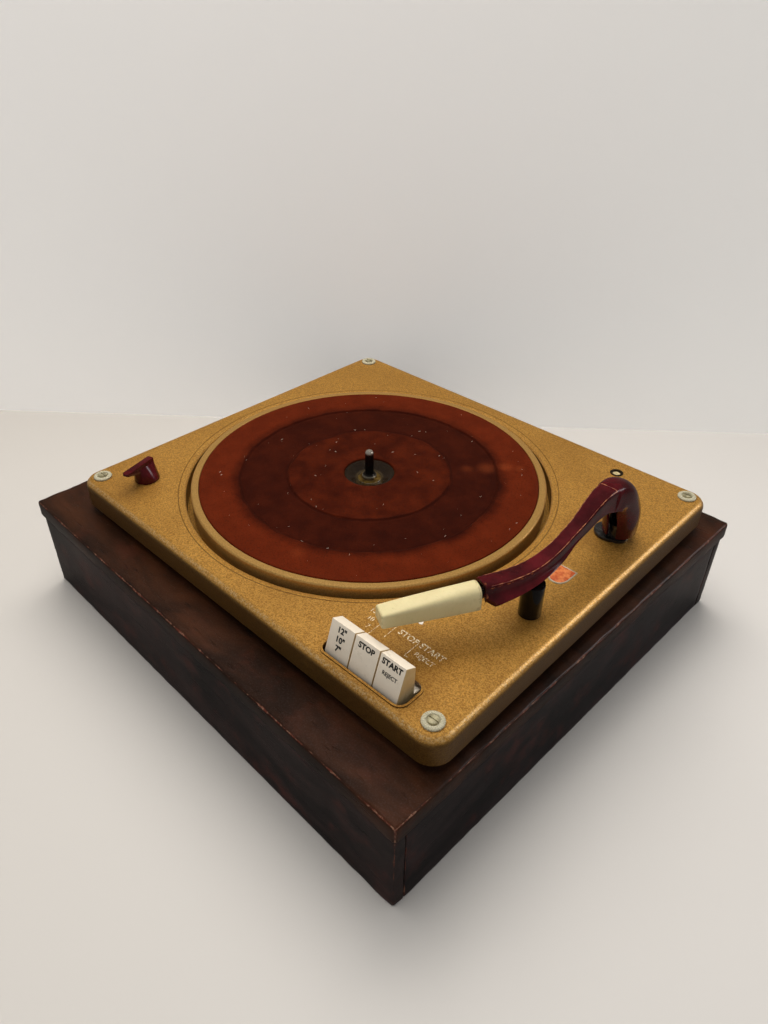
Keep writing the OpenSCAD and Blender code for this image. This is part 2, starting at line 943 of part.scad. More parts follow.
module speed_slide() {
    ramp_start = idler_dist + guide_pin_r + 0.4;
    ramp_end = ramp_start + slide_travel;
    inner_end = ramp_start - 1;
    pin_y = knob_tangent - crank_r * (1 + sin(speed_swing)) / 2;
    pin_x = knob_radial + slide_travel / 2;
    foot_start = knob_radial - 12;
    stud_slot_w = 4.4;
    color(STEEL)
        on_drive(0)
            difference() {
                union() {
                    slab(inner_end, pin_x + 5, guide_offset - bar_half, guide_offset + bar_half, slide_z, ramp_z, 2);
                    slab(foot_start, pin_x + 5, pin_y - 6.5, guide_offset + bar_half, slide_z, ramp_z, 2);
                    translate([0, guide_offset + 2.5, ramp_z - eps])
                        rotate([90, 0, 0])
                            linear_extrude(5)
                                polygon([
                                    [ramp_start, 0], [ramp_end, speed_travel], [ramp_end + 4, speed_travel],
                                    [ramp_end + 4, 0]
                                ]);
                }
                slab(pin_x - crank_pin_r - 0.4, pin_x + crank_pin_r + 0.4, pin_y - 3.2, pin_y + 3.2,
                     slide_z - 1, ramp_z + 1, crank_pin_r);
                slab(stud_dists[0] - stud_slot_w / 2, stud_dists[1] + slide_travel + stud_slot_w / 2,
                     guide_offset - stud_slot_w / 2, guide_offset + stud_slot_w / 2,
                     slide_z - 1, ramp_z + 1, stud_slot_w / 2 - 0.1);
            }
}

// Two shouldered studs spot-welded under the deck: the slide hangs and runs on them
module slide_studs() {
    color(STEEL)
        for (dist = stud_dists)
            on_drive(dist)
                translate([0, guide_offset, 0]) {
                    rod(5, -deck_t - 1.2, -deck_t);
                    rod(3.4, ramp_z + 0.2, -deck_t);
                    rod(2, slide_z - 1, ramp_z + 1);
                    rod(3.4, slide_z - 1.3, slide_z - 0.2);
                }
}

// Keys: three moulded caps on levers that turn on one rod
module key_profile() {
    rear = key_front + key_depth;
    polygon([
        [key_front + 1, -11], [key_front, 0], [key_front + 7.7, key_h], [rear, key_h - 4.2],
        [rear - 0.8, -3.5], [key_rod_y, key_rod_h + 3.5], [key_rod_y, key_rod_h - 3.5],
        [key_front + 2, -15]
    ]);
}

module key(index) {
    x0 = keys_right - key_w - (2 - index) * key_pitch;
    on_deck()
        difference() {
            union() {
                translate([x0, 0, 0])
                    rotate([90, 0, 90])
                        linear_extrude(key_w)
                            key_profile();
                translate([x0, key_rod_y, key_rod_h])
                    rotate([0, 90, 0])
                        cylinder(r = 4.2, h = key_w);
            }
            translate([x0 - 1, key_rod_y, key_rod_h])
                rotate([0, 90, 0])
                    cylinder(r = key_rod_r + play, h = key_w + 2);
            translate([x0 + key_w / 2, key_front + 22, -16])
                rod(4.4, 0, 4);
        }
}

module size_key() {
    color("#d8cfc0")
        key(0);
}

module stop_key() {
    color("#d8cfc0")
        key(1);
}

module start_key() {
    color("#d8cfc0")
        key(2);
}

module key_rod() {
    x0 = keys_right - key_w - 2 * key_pitch;
    color(STEEL)
        on_deck()
            translate([x0 - 3.5, key_rod_y, key_rod_h])
                rotate([0, 90, 0])
                    cylinder(r = key_rod_r, h = 2 * key_pitch + key_w + 7);
}

module key_bracket() {
    x0 = keys_right - key_w - 2 * key_pitch - 3;
    x1 = keys_right + 3;
    ear = 2;
    base = -space_h + 1.4;
    ear_front = key_rod_y - 7;
    ear_back = key_rod_y + 5;
    color("#8f8c84")
        on_deck()
            difference() {
                union() {
                    translate([x0, key_front + 14, base])
                        cube([x1 - x0, ear_back - key_front - 14, 1.4]);
                    for (x = [x0, x1 - ear])
                        translate([x, ear_front, base])
                            cube([ear, ear_back - ear_front, -deck_t - base]);
                    for (x = [x0 - 7, x1 - ear])
                        translate([x, ear_front, -deck_t - 1.6])
                            cube([9, ear_back - ear_front, 1.6]);
                }
                translate([x0 - 1, key_rod_y, key_rod_h])
                    rotate([0, 90, 0])
                        cylinder(r = key_rod_r, h = x1 - x0 + 2);
            }
}

module key_springs() {
    base = -space_h + 2.8;
    color(STEEL)
        on_deck()
            for (index = [0:2])
                translate([keys_right - key_w / 2 - (2 - index) * key_pitch, key_front + 22, base])
                    coil_spring(3, 0.4, -12 - base, 7);
}

module mains_switch() {
    x0 = slot_left - 26;
    color("#5a4632")
        on_deck() {
            translate([x0, key_front + 4, -deck_t - 18])
                cube([18, 26, 18]);
            for (x = [4, 14])
                translate([x0 + x - 1, key_front + 8, -deck_t - 24])
                    cube([0.8, 4, 7]);
        }
}

module terminal_strip() {
    x0 = -deck_w / 2 + 44;
    y0 = deck_d / 2 - 26;
    color("#6b4a2a")
        on_deck() {
            translate([x0, y0, -deck_t - 8])
                cube([46, 12, 8]);
            for (i = [0:4])
                translate([x0 + 6 + 8 * i, y0 + 2, -deck_t - 14])
                    cube([2.4, 0.8, 7]);
        }
}

// Arm base: fixed pedestal and the bracket that swings in it
module arm_pedestal() {
    color(BLACK)
        on_arm()
            difference() {
                union() {
                    rod(9, 0, flange_h);
                    translate([-6, 0.5, 0])
                        rod(11.8, 0, flange_h);
                    rod(6.5, 0, 10.4);
                    rod(6.2, -16, eps);
                }
                rod(swing_r + play, -17, 12);
            }
}

module pedestal_nut() {
    color(BRASS)
        on_arm()
            difference() {
                translate([0, 0, -deck_t - 5])
                    cylinder(r = 10.5, h = 5, $fn = 6);
                rod(6.2, -deck_t - 6, 0);
            }
}

module swing_bracket() {
    color(BLACK)
        on_arm()
            difference() {
                union() {
                    rod(swing_r, -32, 12);
                    rod(7, 10.6, 13.2);
                    for (side = [-1, 1])
                        ear(side);
                }
                translate([-10, 0, hinge_h])
                    rotate([0, 90, 0])
                        cylinder(r = hinge_r + play, h = 20);
            }
}

module ear(side) {
    x0 = side > 0 ? ear_gap : -ear_gap - ear_t;
    translate([x0, 0, hinge_h])
        rotate([0, 90, 0])
            cylinder(r = ear_r, h = ear_t);
    translate([x0, -ear_r, 11])
        cube([ear_t, 2 * ear_r, hinge_h - 11]);
}

module swing_lever() {
    color(STEEL)
        on_arm()
            difference() {
                union() {
                    rod(7, -26, -20);
                    translate([-46, -4, -24])
                        cube([46, 8, 1.6]);
                }
                rod(swing_r, -27, -19);
            }
}

module hinge_pin() {
    color(STEEL)
        on_arm()
            translate([-hinge_reach, 0, hinge_h])
                rotate([0, 90, 0])
                    cylinder(r = hinge_r, h = 2 * hinge_reach);
}

// Tone arm: a moulded channel that rises into a hood round the pivot
// One row a station, from the pivot: x, y, height, half width, crown, squareness,
// length of the left side, reach and drop of the right side, and how far the sides curl in
ARM = [
    [0, 1.2, 6.5, 12.3, 12.3, 2, 6, 12.3, 6, 1],
    [0, 0, 17, 13, 13, 2, 6, 13, 6, 1],
    [0, -3, 28, 13.2, 13, 2, 7, 13.2, 7, 1],
    [0, -11.5, 41.5, 12.2, 12.4, 2.1, 8, 12.2, 8, 0.2],
    [0, -20.5, 48.8, 10.4, 11, 2.4, 9, 10.4, 9, 0],
    [0, -31, 52, 8.4, 8.6, 3.2, 9, 8.4, 9, 0],
    [0, -40, 52.4, 7.4, 7.2, 6, 7.5, 7.4, 7.5, 0],
    [0, -50, 49.2, 6.6, 6.6, 8, 5, 6.6, 5, 0],
    [0, -62, 43.6, 5.8, 6.4, 8, 3.2, 5.8, 3.2, 0],
    [0, -75, 39.6, 5.4, 6.2, 8, 3, 5.8, 1.8, 0],
    [-0.4, -91, 35.4, 5.6, 6, 7, 3, 7.4, 2.6, 0],
    [-2.4, -110, 32.8, 6.2, 6, 5, 3.5, 9.6, 2.3, 0],
    [-7.2, -129, 32.4, 6.6, 6, 4, 5, 11.2, 4, 0],
    [-15, -148.8, 33.2, 6.8, 6, 3.2, 7.5, 12.8, 6.4, 0]
];

function blend(a, b, c, d, t) = 0.5 * (2 * b + (c - a) * t + (2 * a - 5 * b + 4 * c - d) * t * t
    + (3 * b - a - 3 * c + d) * t * t * t);

// Smooth row of the list at a place between its rows
function smooth_row(rows, place) =
    let (last = len(rows) - 1, i = min(floor(place), last - 1), t = place - i)
        blend(rows[max(i - 1, 0)], rows[i], rows[i + 1], rows[min(i + 2, last)], t);

function unit(v) = v / norm(v);

// Turns flat points [side, up] into space at the row's place, square to the path
function on_path(rows, place, flat) =
    let (
        last = len(rows) - 1,
        here = smooth_row(rows, place),
        before = smooth_row(rows, max(place - 0.05, 0)),
        after = smooth_row(rows, min(place + 0.05, last)),
        way = unit([for (k = [0:2]) after[k] - before[k]]),
        side = unit([-way[1], way[0], 0]),
        up = cross(way, side)
    )
        [for (p = flat) [here[0], here[1], here[2]] + p[0] * side + p[1] * up];

function crown(half, rise, square) = [for (i = [0:12])
    let (a = 180 - 15 * i, c = cos(a), s = sin(a))
        [half * sign(c) * pow(abs(c), 2 / square), rise * pow(abs(s), 2 / square)]];

// Point of a side: on the straight or flared line, or curled round the hood towards its slot
function side_point(line, half, angle, curl) = (1 - curl) * line + curl * half * [cos(angle), sin(angle)];

// Open channel: outside from the left edge over the crown to the right edge, then back inside
function channel(row, wall) =
    let (
        half = row[3], rise = row[4], square = row[5], left = row[6], reach = row[7], drop = row[8], curl = row[9],
        wrap = 72,
        flare = min(1, max(0, (reach - half) / 3)),
        down = [0.4, 0.7, 1],
        out = [0.15, 0.5, 1],
        inside = crown(half - wall, rise - wall, square)
    )
        concat(
            [for (k = [2:-1:0]) side_point([-half, -left * down[k]], half, 180 + wrap * down[k], curl)],
            crown(half, rise, square),
            [for (k = [0:2]) side_point([half + (reach - half) * out[k], -drop * down[k]], half, -wrap * down[k], curl)],
            [for (k = [2:-1:0]) side_point([half + (reach - half) * out[k] - wall, -drop * down[k] - wall * flare],
                half - wall, -wrap * down[k], curl)],
            [for (i = [12:-1:0]) inside[i]],
            [for (k = [0:2]) side_point([wall - half, -left * down[k]], half - wall, 180 + wrap * down[k], curl)]
        );

module in_head() {
    translate([-15.7, -150.7, 0])
        rotate([0, 0, -head_angle])
            children();
}

module tone_arm() {
    steps = 4 * (len(ARM) - 1);
    color(BAKELITE)
        on_arm()
            difference() {
                union() {
                    loft([for (i = [0:steps])
                        on_path(ARM, i / 4, channel(smooth_row(ARM, i / 4), arm_wall))]);
                    in_head()
                        translate([-5.2, plug_seat, plug_z - 3.4])
                            cube([10.4, 3.2, 11.4]);
                }
                translate([-20, 0, hinge_h])
                    rotate([0, 90, 0])
                        cylinder(r = hinge_r, h = 40);
                in_head()
                    linear_extrude(60)
                        polygon([[6.4, 3.5], [14, 14], [24, 14], [24, -8], [6.4, -8]]);
            }
}

// Along the head's axis, counted forwards from its back end
module plug_bore(from, to) {
    translate([0, -from, plug_z])
        rotate([90, 0, 0])
            cylinder(r = plug_r, h = to - from);
}

module head_plug() {
    color(BLACK)
        on_arm()
            in_head()
                plug_bore(-plug_seat, 6);
}

// One row a station of the head: place, height, half width, crown, squareness and low side
HEAD = [
    [0, 30.4, 6.7, 8, 2.6, 7.2],
    [-1, 30.4, 7.2, 8.5, 2.6, 7.6],
    [-18, 30.3, 7, 7.8, 3, 7.2],
    [-36, 30.2, 6.7, 6.7, 4, 6.4],
    [-50, 30.1, 6.5, 5.9, 5, 5.6],
    [-63.3, 30, 6.2, 5.1, 6, 5],
    [-64.3, 30, 5.4, 4.3, 6, 4.4]
];

function head_ring(row, wall, low) =
    let (half = row[2] - wall, foot = -row[5] - low)
        [for (p = concat([[-half, foot]], crown(half, row[3] - wall, row[4]), [[half, foot]]))
            [p[0], row[0], row[1] + p[1]]];

module pickup_head() {
    wall = 1.5;
    inner_back = [-2.5, 30.4, 7.2, 8.5, 2.6, 7.6];
    inner_front = [-62.6, 30, 6.2, 5.1, 6, 5];
    color(IVORY)
        on_arm()
            in_head()
                difference() {
                    union() {
                        difference() {
                            loft([for (row = HEAD) head_ring(row, 0, 0)]);
                            loft([for (row = [inner_back, HEAD[2], HEAD[3], HEAD[4], inner_front])
                                head_ring(row, wall, 3)]);
                        }
                        for (y = [-36, -49])
                            translate([0, y, cartridge_top])
                                cylinder(r = 2, h = 4.2);
                    }
                    plug_bore(-1, 6);
                }
}

module cartridge() {
    color("#2a2622")
        on_arm()
            in_head() {
                translate([-4, -56, cartridge_top - 9])
                    cube([8, 25, 9]);
                translate([-2.6, -34, cartridge_top - 11])
                    cube([5.2, 3, 2]);
            }
}

module stylus() {
    color(STEEL)
        on_arm()
            in_head()
                translate([0, -54, cartridge_top - 9]) {
                    translate([-1.2, -1, -1.5])
                        cube([2.4, 3, 1.5]);
                    translate([-0.4, -4, -1.5])
                        cube([0.8, 3.2, 0.5]);
                    translate([0, -3.4, -4.2])
                        cylinder(r1 = 0.15, r2 = 0.4, h = 2.9);
                }
}

module rest_post() {
    color(BLACK)
        on_arm()
            translate([post_x, post_y, 0])
                difference() {
                    union() {
                        rod(post_r, 0, post_h);
                        rod(3, -6, eps);
                    }
                    translate([0, 0, post_h + 20])
                        rotate([90, 0, 90])
                            cylinder(r = 21, h = 20, center = true, $fn = 96);
                }
}

plinth_top_panel();
plinth_front_board();
plinth_back_board();
plinth_left_board();
plinth_right_board();
corner_blocks();
cable_grommet();
deck_plate();
cup_washers();
corner_screws();
suspension_springs();
corner_nuts();
transit_screw();
bare_badge();
platter();
platter_mat();
hub_bush();
bearing_shaft();
thrust_washer();
spindle();
motor_core();
motor_coil();
motor_rotor();
motor_pulley();
motor_top_plate();
motor_bottom_plate();
motor_grommets();
motor_screws();
idler_wheel();
idler_tyre();
idler_carrier();
idler_guide();
idler_clip();
speed_knob();
speed_shaft();
speed_slide();
slide_studs();
size_key();
stop_key();
start_key();
key_rod();
key_bracket();
key_springs();
mains_switch();
terminal_strip();
arm_pedestal();
pedestal_nut();
swing_bracket();
swing_lever();
hinge_pin();
tone_arm();
head_plug();
pickup_head();
cartridge();
stylus();
rest_post();
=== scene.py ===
"""Finishes of the record player, piece by piece in the order it is put together.

Sizes are in millimetres and are turned to metres where a mesh is made. The deck and all that it
carries stand in the deck's own frame, turned a little on its springs.
"""

import json
import math

import bmesh
import bpy
import numpy as np
from mathutils import Matrix, Vector, noise

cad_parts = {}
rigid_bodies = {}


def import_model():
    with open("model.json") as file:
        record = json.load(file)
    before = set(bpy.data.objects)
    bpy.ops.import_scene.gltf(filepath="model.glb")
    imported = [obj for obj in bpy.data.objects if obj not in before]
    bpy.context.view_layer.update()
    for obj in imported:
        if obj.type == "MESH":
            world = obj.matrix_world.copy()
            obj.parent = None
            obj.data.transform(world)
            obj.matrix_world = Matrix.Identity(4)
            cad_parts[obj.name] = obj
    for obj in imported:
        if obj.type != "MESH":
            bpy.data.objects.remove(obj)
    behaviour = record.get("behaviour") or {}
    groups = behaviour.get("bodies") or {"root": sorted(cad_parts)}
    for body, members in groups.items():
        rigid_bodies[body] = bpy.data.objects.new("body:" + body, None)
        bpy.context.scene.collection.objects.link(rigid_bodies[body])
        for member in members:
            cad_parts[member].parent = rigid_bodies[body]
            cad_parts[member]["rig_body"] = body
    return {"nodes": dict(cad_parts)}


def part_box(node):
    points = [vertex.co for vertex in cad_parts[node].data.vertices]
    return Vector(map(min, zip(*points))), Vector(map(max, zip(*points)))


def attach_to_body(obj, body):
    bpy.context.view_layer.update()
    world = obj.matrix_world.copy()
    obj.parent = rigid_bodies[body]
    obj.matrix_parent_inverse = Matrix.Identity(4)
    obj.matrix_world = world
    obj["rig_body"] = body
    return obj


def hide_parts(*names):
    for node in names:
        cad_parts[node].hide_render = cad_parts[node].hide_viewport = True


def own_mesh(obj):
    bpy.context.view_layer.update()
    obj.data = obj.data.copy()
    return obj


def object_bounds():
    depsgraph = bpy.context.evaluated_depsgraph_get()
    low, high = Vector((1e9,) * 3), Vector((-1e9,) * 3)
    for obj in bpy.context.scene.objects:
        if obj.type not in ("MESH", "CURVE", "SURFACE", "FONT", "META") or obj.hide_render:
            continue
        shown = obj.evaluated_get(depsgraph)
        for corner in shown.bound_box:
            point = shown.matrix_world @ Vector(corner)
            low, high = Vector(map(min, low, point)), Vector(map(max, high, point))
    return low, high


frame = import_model()
cad_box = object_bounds()

# Plinth boards: five pieces of dark stained softwood, nailed at butt joints.
# The front board runs past the side board, so its end grain shows on the right.
# Handling has rubbed the edges down to red-brown wood and split off small chips.
MM = 0.001
LOWEST, HIGHEST = cad_box[0][2], cad_box[1][2]
CUT_OUT = (-165, 178, -135, 135)
PANEL_ROUND, PANEL_RAGGED, BOARD_ROUND, BOARD_RAGGED = 2.2, 0.9, 0.9, 0.5


def colour(code):
    parts = [int(code[i:i + 2], 16) / 255 for i in (0, 2, 4)]
    return (*[p / 12.92 if p <= 0.04045 else ((p + 0.055) / 1.055) ** 2.4 for p in parts], 1)


def feed(tree, socket, value):
    """Gives an input a plain value, a colour's code or the output that drives it."""
    value = value.socket if isinstance(value, Value) else value
    if isinstance(value, bpy.types.NodeSocket):
        tree.links.new(value, socket)
    else:
        socket.default_value = colour(value) if isinstance(value, str) else value


def put(tree, kind, sockets=None, **settings):
    made = tree.nodes.new(kind)
    for name, value in settings.items():
        setattr(made, name, value)
    for key, value in (sockets or {}).items():
        feed(tree, made.inputs[key], value)
    return made


class Value:
    """An output in a shader tree, so that sums and mixes of textures read as what they are."""

    def __init__(self, tree, socket):
        self.tree, self.socket = tree, socket

    def node(self, kind, sockets, output=0, **settings):
        return Value(self.tree, put(self.tree, kind, sockets, **settings).outputs[output])

    def sums(self, kind, a, b=0.0):
        return self.node("ShaderNodeMath", {0: a, 1: b}, operation=kind)

    def __add__(self, b):
        return self.sums("ADD", self, b)

    def __radd__(self, a):
        return self.sums("ADD", a, self)

    def __sub__(self, b):
        return self.sums("SUBTRACT", self, b)

    def __rsub__(self, a):
        return self.sums("SUBTRACT", a, self)

    def __mul__(self, b):
        return self.sums("MULTIPLY", self, b)

    def __abs__(self):
        return self.sums("ABSOLUTE", self)

    def rise(self, low, high):
        """0 below low and 1 above high, with a soft step between."""
        return self.node("ShaderNodeMapRange", {0: self, 1: low, 2: high}, interpolation_type="SMOOTHSTEP")

    def between(self, a, b, kind="MIX"):
        """The mix of two colours that this value, from 0 to 1, asks for."""
        return self.node("ShaderNodeMix", {0: self, 6: a, 7: b}, 2, data_type="RGBA", blend_type=kind)

    def over(self, share, other, kind="MIX"):
        return share.between(self, other, kind)

    def vector(self, kind, other, output=0):
        return self.node("ShaderNodeVectorMath", {0: self, 1: other}, output, operation=kind)

    def upright(self):
        return self.node("ShaderNodeSeparateXYZ", {0: self}, 2)

    def surface(self, kind):
        return self.node("ShaderNodeNewGeometry", {}, kind)

    def stretched(self, scale):
        return self.node("ShaderNodeMapping", {"Vector": self, "Scale": scale})

    def cloud(self, scale, detail=3.0, rough=0.5):
        return self.node("ShaderNodeTexNoise", {"Vector": self, "Scale": scale, "Detail": detail,
                                                "Roughness": rough})

    def relief(self, strength, depth):
        return self.node("ShaderNodeBump", {"Height": self, "Strength": strength, "Distance": depth * MM})

    def effect(self, group, **sockets):
        made = put(self.tree, "ShaderNodeGroup", {}, node_tree=group)
        for key, value in {"Place": self, **sockets}.items():
            feed(self.tree, made.inputs[key], value)
        return [Value(self.tree, socket) for socket in made.outputs]

    def worn(self, scale, amount):
        return self.effect(edge_wear, Scale=scale, Amount=amount)[0]

    def dusty(self, scale, amount):
        return self.effect(dust, Scale=scale, Amount=amount)[0]


def new_effect(name, inputs, outputs, fill):
    """A shared node group: fill takes its inputs and gives what its outputs say."""
    group = bpy.data.node_groups.new(name, "ShaderNodeTree")
    group.interface.new_socket("Place", in_out="INPUT", socket_type="NodeSocketVector")
    for label, value in inputs.items():
        kind = "NodeSocketFloat" if isinstance(value, float) else "NodeSocketVector"
        group.interface.new_socket(label, in_out="INPUT", socket_type=kind).default_value = value
    for label in outputs:
        group.interface.new_socket(label, in_out="OUTPUT", socket_type="NodeSocketFloat")
    given, out = group.nodes.new("NodeGroupInput").outputs, group.nodes.new("NodeGroupOutput").inputs
    for label, value in zip(outputs, fill(*[Value(group, given[label]) for label in ("Place", *inputs)])):
        feed(group, out[label], value)
    return group


def fill_edge_wear(place, scale, amount):
    edge = place.node("ShaderNodeAttribute", {}, "Fac", attribute_name="edge")
    over = place.cloud(scale, 5.0, 0.65) + edge * 0.45 - (1.0 - amount)
    return [over.rise(0.28, 0.42) * edge.rise(0.02, 0.3)]


def fill_dust(place, scale, amount):
    up = place.surface("Normal").upright()
    return [place.cloud(scale, 6.0, 0.7).rise(0.45, 0.75) * up.rise(0.3, 0.95) * amount]


def fill_grain(place, along):
    laid = place.vector("MULTIPLY", along)
    wander = laid.vector("ADD", place.node("ShaderNodeTexNoise", {"Vector": place, "Scale": 6.0}, 1))
    pores = laid.cloud(26.0, 4.0, 0.7).rise(0.58, 0.7)
    return wander.cloud(3.0, 6.0, 0.6), pores, place.cloud(14.0, 5.0, 0.6)


edge_wear = new_effect("edge wear", {"Scale": 150.0, "Amount": 0.5}, ["Mask"], fill_edge_wear)
dust = new_effect("dust", {"Scale": 60.0, "Amount": 0.3}, ["Mask"], fill_dust)
wood_grain = new_effect("wood grain", {"Along": (1.0, 1.0, 1.0)}, ["Grain", "Pores", "Blotches"], fill_grain)


def finish(name, paint, **plain):
    """A material: plain numbers go on the shader's sockets, and paint gives its textures."""
    material = bpy.data.materials.new(name)
    material.use_nodes = True
    tree = material.node_tree
    shader = tree.nodes["Principled BSDF"]
    for key, value in plain.items():
        shader.inputs[key.replace("_", " ")].default_value = value
    place = Value(tree, tree.nodes.new("ShaderNodeTexCoord").outputs["Object"])
    for key, value in zip(("Base Color", "Roughness", "Normal", "Metallic"), paint(place)):
        if value is not None:
            feed(tree, shader.inputs[key], value)
    return material


def stained(along, dark, light, rubbed, amount, blotchy=0.65):
    def paint(place):
        grain, pores, blotches = place.effect(wood_grain, Along=along)
        body = grain.rise(0.3, 0.72).between(dark, light)
        body = body.over(blotches.rise(0.5, 0.75) * 0.55, dark).over(pores * 0.5, "050404")
        body = body.over(place.cloud(31.0, 5.0, 0.65).rise(0.5, 0.72) * blotchy, rubbed)
        body = body.over(place.dusty(900.0, 0.1), "7d7068")
        worn = place.worn(90.0, amount)
        raw = place.cloud(400.0).rise(0.45, 0.7).between("5e2c20", "96705a")
        height = grain * 0.5 - pores + place.cloud(130.0, 4.0) * 0.5
        return body.over(worn * 0.8, raw), blotches * 0.3 + 0.2 + worn * 0.25, height.relief(0.5, 0.25)
    return paint


board_wood = finish("stained_board_long", stained((1.5, 16, 16), "151011", "372826", "572a22", 0.42),
                    Specular_IOR_Level=0.22)
side_wood = finish("stained_board_side", stained((16, 1.5, 16), "130f10", "322526", "52261f", 0.42),
                   Specular_IOR_Level=0.22)
panel_wood = finish("stained_panel", stained((2.2, 12, 12), "1d0f07", "3f210f", "542716", 0.46, 0.3),
                    Specular_IOR_Level=0.24)


def attach(piece, body):
    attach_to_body(piece, body)
    return piece


def settle(piece, *nodes):
    """The piece rides with the first node's body and stands for all of them.
    Its points are kept between the lowest and the highest of the construction."""
    for vertex in piece.data.vertices:
        vertex.co.z = min(max(vertex.co.z, LOWEST), HIGHEST)
    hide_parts(*nodes)
    return attach(piece, frame["nodes"][nodes[0]]["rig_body"])


def metres(point):
    return tuple(c * MM for c in point)


def linked(name, data):
    piece = bpy.data.objects.new(name, data)
    bpy.context.scene.collection.objects.link(piece)
    return piece


def wrap(name, mesh, material, smooth=40):
    """A finished mesh as an object of the scene, smooth but for its sharp edges."""
    for face in mesh.polygons:
        face.use_smooth = True
    mesh.set_sharp_from_angle(angle=math.radians(smooth))
    mesh.materials.clear()
    mesh.materials.append(material)
    return linked(name, mesh)


def mark_edges(mesh, values):
    """Writes how much each point sticks out, from 0 to 1, for the edge wear."""
    mesh.attributes.new("edge", "FLOAT", "POINT").data.foreach_set("value", values)
    return mesh


def solid(name, points, faces, material, smooth=40, edge=None):
    """A piece from points in millimetres."""
    mesh = bpy.data.meshes.new(name)
    mesh.from_pydata([metres(p) for p in points], [], faces)
    mesh.validate()
    if edge is not None:
        mark_edges(mesh, edge)
    return wrap(name, mesh, material, smooth)


def ticks(low, high, round_r, pitch, extra):
    """Where a board is divided along one side, closer together at its rounded edges."""
    inner = [v for v in extra if low < v < high]
    ends = [low, low + 0.45 * round_r, low + round_r, high - round_r, high - 0.45 * round_r, high]
    steps = max(1, round((high - low - 2 * round_r) / pitch))
    even = [low + round_r + (high - low - 2 * round_r) * i / steps for i in range(1, steps)]
    even = [v for v in even if all(abs(v - e) > 0.35 * pitch for e in inner)]
    return sorted(ends + even + inner)


def worn_board(name, low, high, material, round_r, ragged, chips=(), hole=None, pitch=5.0):
    """A board with rubbed, uneven edges. Each chip is (place, size, depth)."""
    cuts = [hole[:2], hole[2:], ()] if hole else [(), (), ()]
    lattice = [ticks(low[a], high[a], round_r, pitch, cuts[a]) for a in range(3)]
    counts = [len(line) - 1 for line in lattice]
    mid = Vector([(low[a] + high[a]) / 2 for a in range(3)])
    index, points, edge, faces = {}, [], [], []

    def filled(i, j):
        if not (0 <= i < counts[0] and 0 <= j < counts[1]):
            return False
        x, y = (lattice[0][i] + lattice[0][i + 1]) / 2, (lattice[1][j] + lattice[1][j + 1]) / 2
        return hole is None or not (hole[0] < x < hole[1] and hole[2] < y < hole[3])

    def corner(*at):
        if at in index:
            return index[at]
        p = Vector([line[i] for line, i in zip(lattice, at)])
        reach = sorted(min(p_a - low_a, high_a - p_a)
                       for p_a, low_a, high_a in zip([line[i] for line, i in zip(lattice, at)], low, high))
        core = Vector([min(max(p[a], low[a] + round_r), high[a] - round_r) for a in range(3)])
        away = p - core
        if away.length > 1e-6 and sum(abs(c) > 1e-6 for c in away) > 1:
            p = core + away.normalized() * round_r
        near_edge = math.exp(-reach[1] / 2.0)
        inward = Vector([math.copysign(1, mid[a] - p[a]) if min(p[a] - low[a], high[a] - p[a]) < 3 * round_r
                         else 0 for a in range(3)])
        dent = ragged * near_edge * max(0, 0.35 + noise.noise(p * 0.11) + 0.6 * noise.noise(p * 0.4))
        for place, size, depth in chips:
            dent += depth * near_edge * math.exp(-((p - Vector(place)).length / size) ** 2)
        if inward.length > 0:
            p = p + inward.normalized() * dent
        index[at] = len(points)
        points.append(p)
        edge.append(near_edge)
        return index[at]

    top = counts[2]
    for i in range(counts[0]):
        for j in range(counts[1]):
            if not filled(i, j):
                continue
            square = [(i, j), (i + 1, j), (i + 1, j + 1), (i, j + 1)]
            faces.append([corner(*p, top) for p in square])
            faces.append([corner(*p, 0) for p in square[3:] + square[2:0:-1] + square[:1]])
            for (di, dj), a, b in (((-1, 0), 3, 0), ((1, 0), 1, 2), ((0, -1), 0, 1), ((0, 1), 2, 3)):
                if not filled(i + di, j + dj):
                    a, b = square[a], square[b]
                    faces += [[corner(*a, k), corner(*b, k), corner(*b, k + 1), corner(*a, k + 1)]
                              for k in range(top)]
    return solid(name, points, faces, material, 50, edge)


def corners_of(node):
    low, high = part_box(node)
    return [c / MM for c in low], [c / MM for c in high]


FRONT_CHIPS = [((193, -197.5, 86), 3.0, 1.6), ((184, -197.5, 72), 3.5, 1.3), ((64, -197.5, 86), 4.0, 0.9),
               ((-30, -197.5, 86), 7.0, 1.1), ((-60, -197.5, 86), 6.0, 0.9), ((-140, -197.5, 86), 5.0, 0.7),
               ((130, -197.5, 72), 6.0, 0.8), ((-213, -196, 80), 5.0, 1.2), ((213, -60, 86), 6.0, 0.7),
               ((213, 90, 73), 8.0, 0.8), ((213, -197, 79), 5.0, 1.0)]
settle(worn_board("top_panel", *corners_of("plinth_top_panel"), panel_wood, PANEL_ROUND, PANEL_RAGGED,
                  FRONT_CHIPS, CUT_OUT), "plinth_top_panel")
for side, wood in {"front": board_wood, "left": side_wood, "right": side_wood}.items():
    board_low, board_high = corners_of(f"plinth_{side}_board")
    chips = [((board_high[0], board_low[1], 0), 5.0, 1.6)] if side == "front" else []
    settle(worn_board(f"{side}_board", board_low, board_high, wood, BOARD_ROUND, BOARD_RAGGED, chips),
           f"plinth_{side}_board")


# Back board, inside blocks and cord grommet: the back board is bored for the rubber grommet,
# and raw softwood blocks are glued into the corners. Nothing was stained inside.
def evaluated(holder, *tools):
    """The mesh of an object with its modifiers done; it and its tools are put away."""
    depsgraph = bpy.context.evaluated_depsgraph_get()
    mesh = bpy.data.meshes.new_from_object(holder.evaluated_get(depsgraph))
    for part in (*tools, holder):
        bpy.data.objects.remove(part)
    return mesh


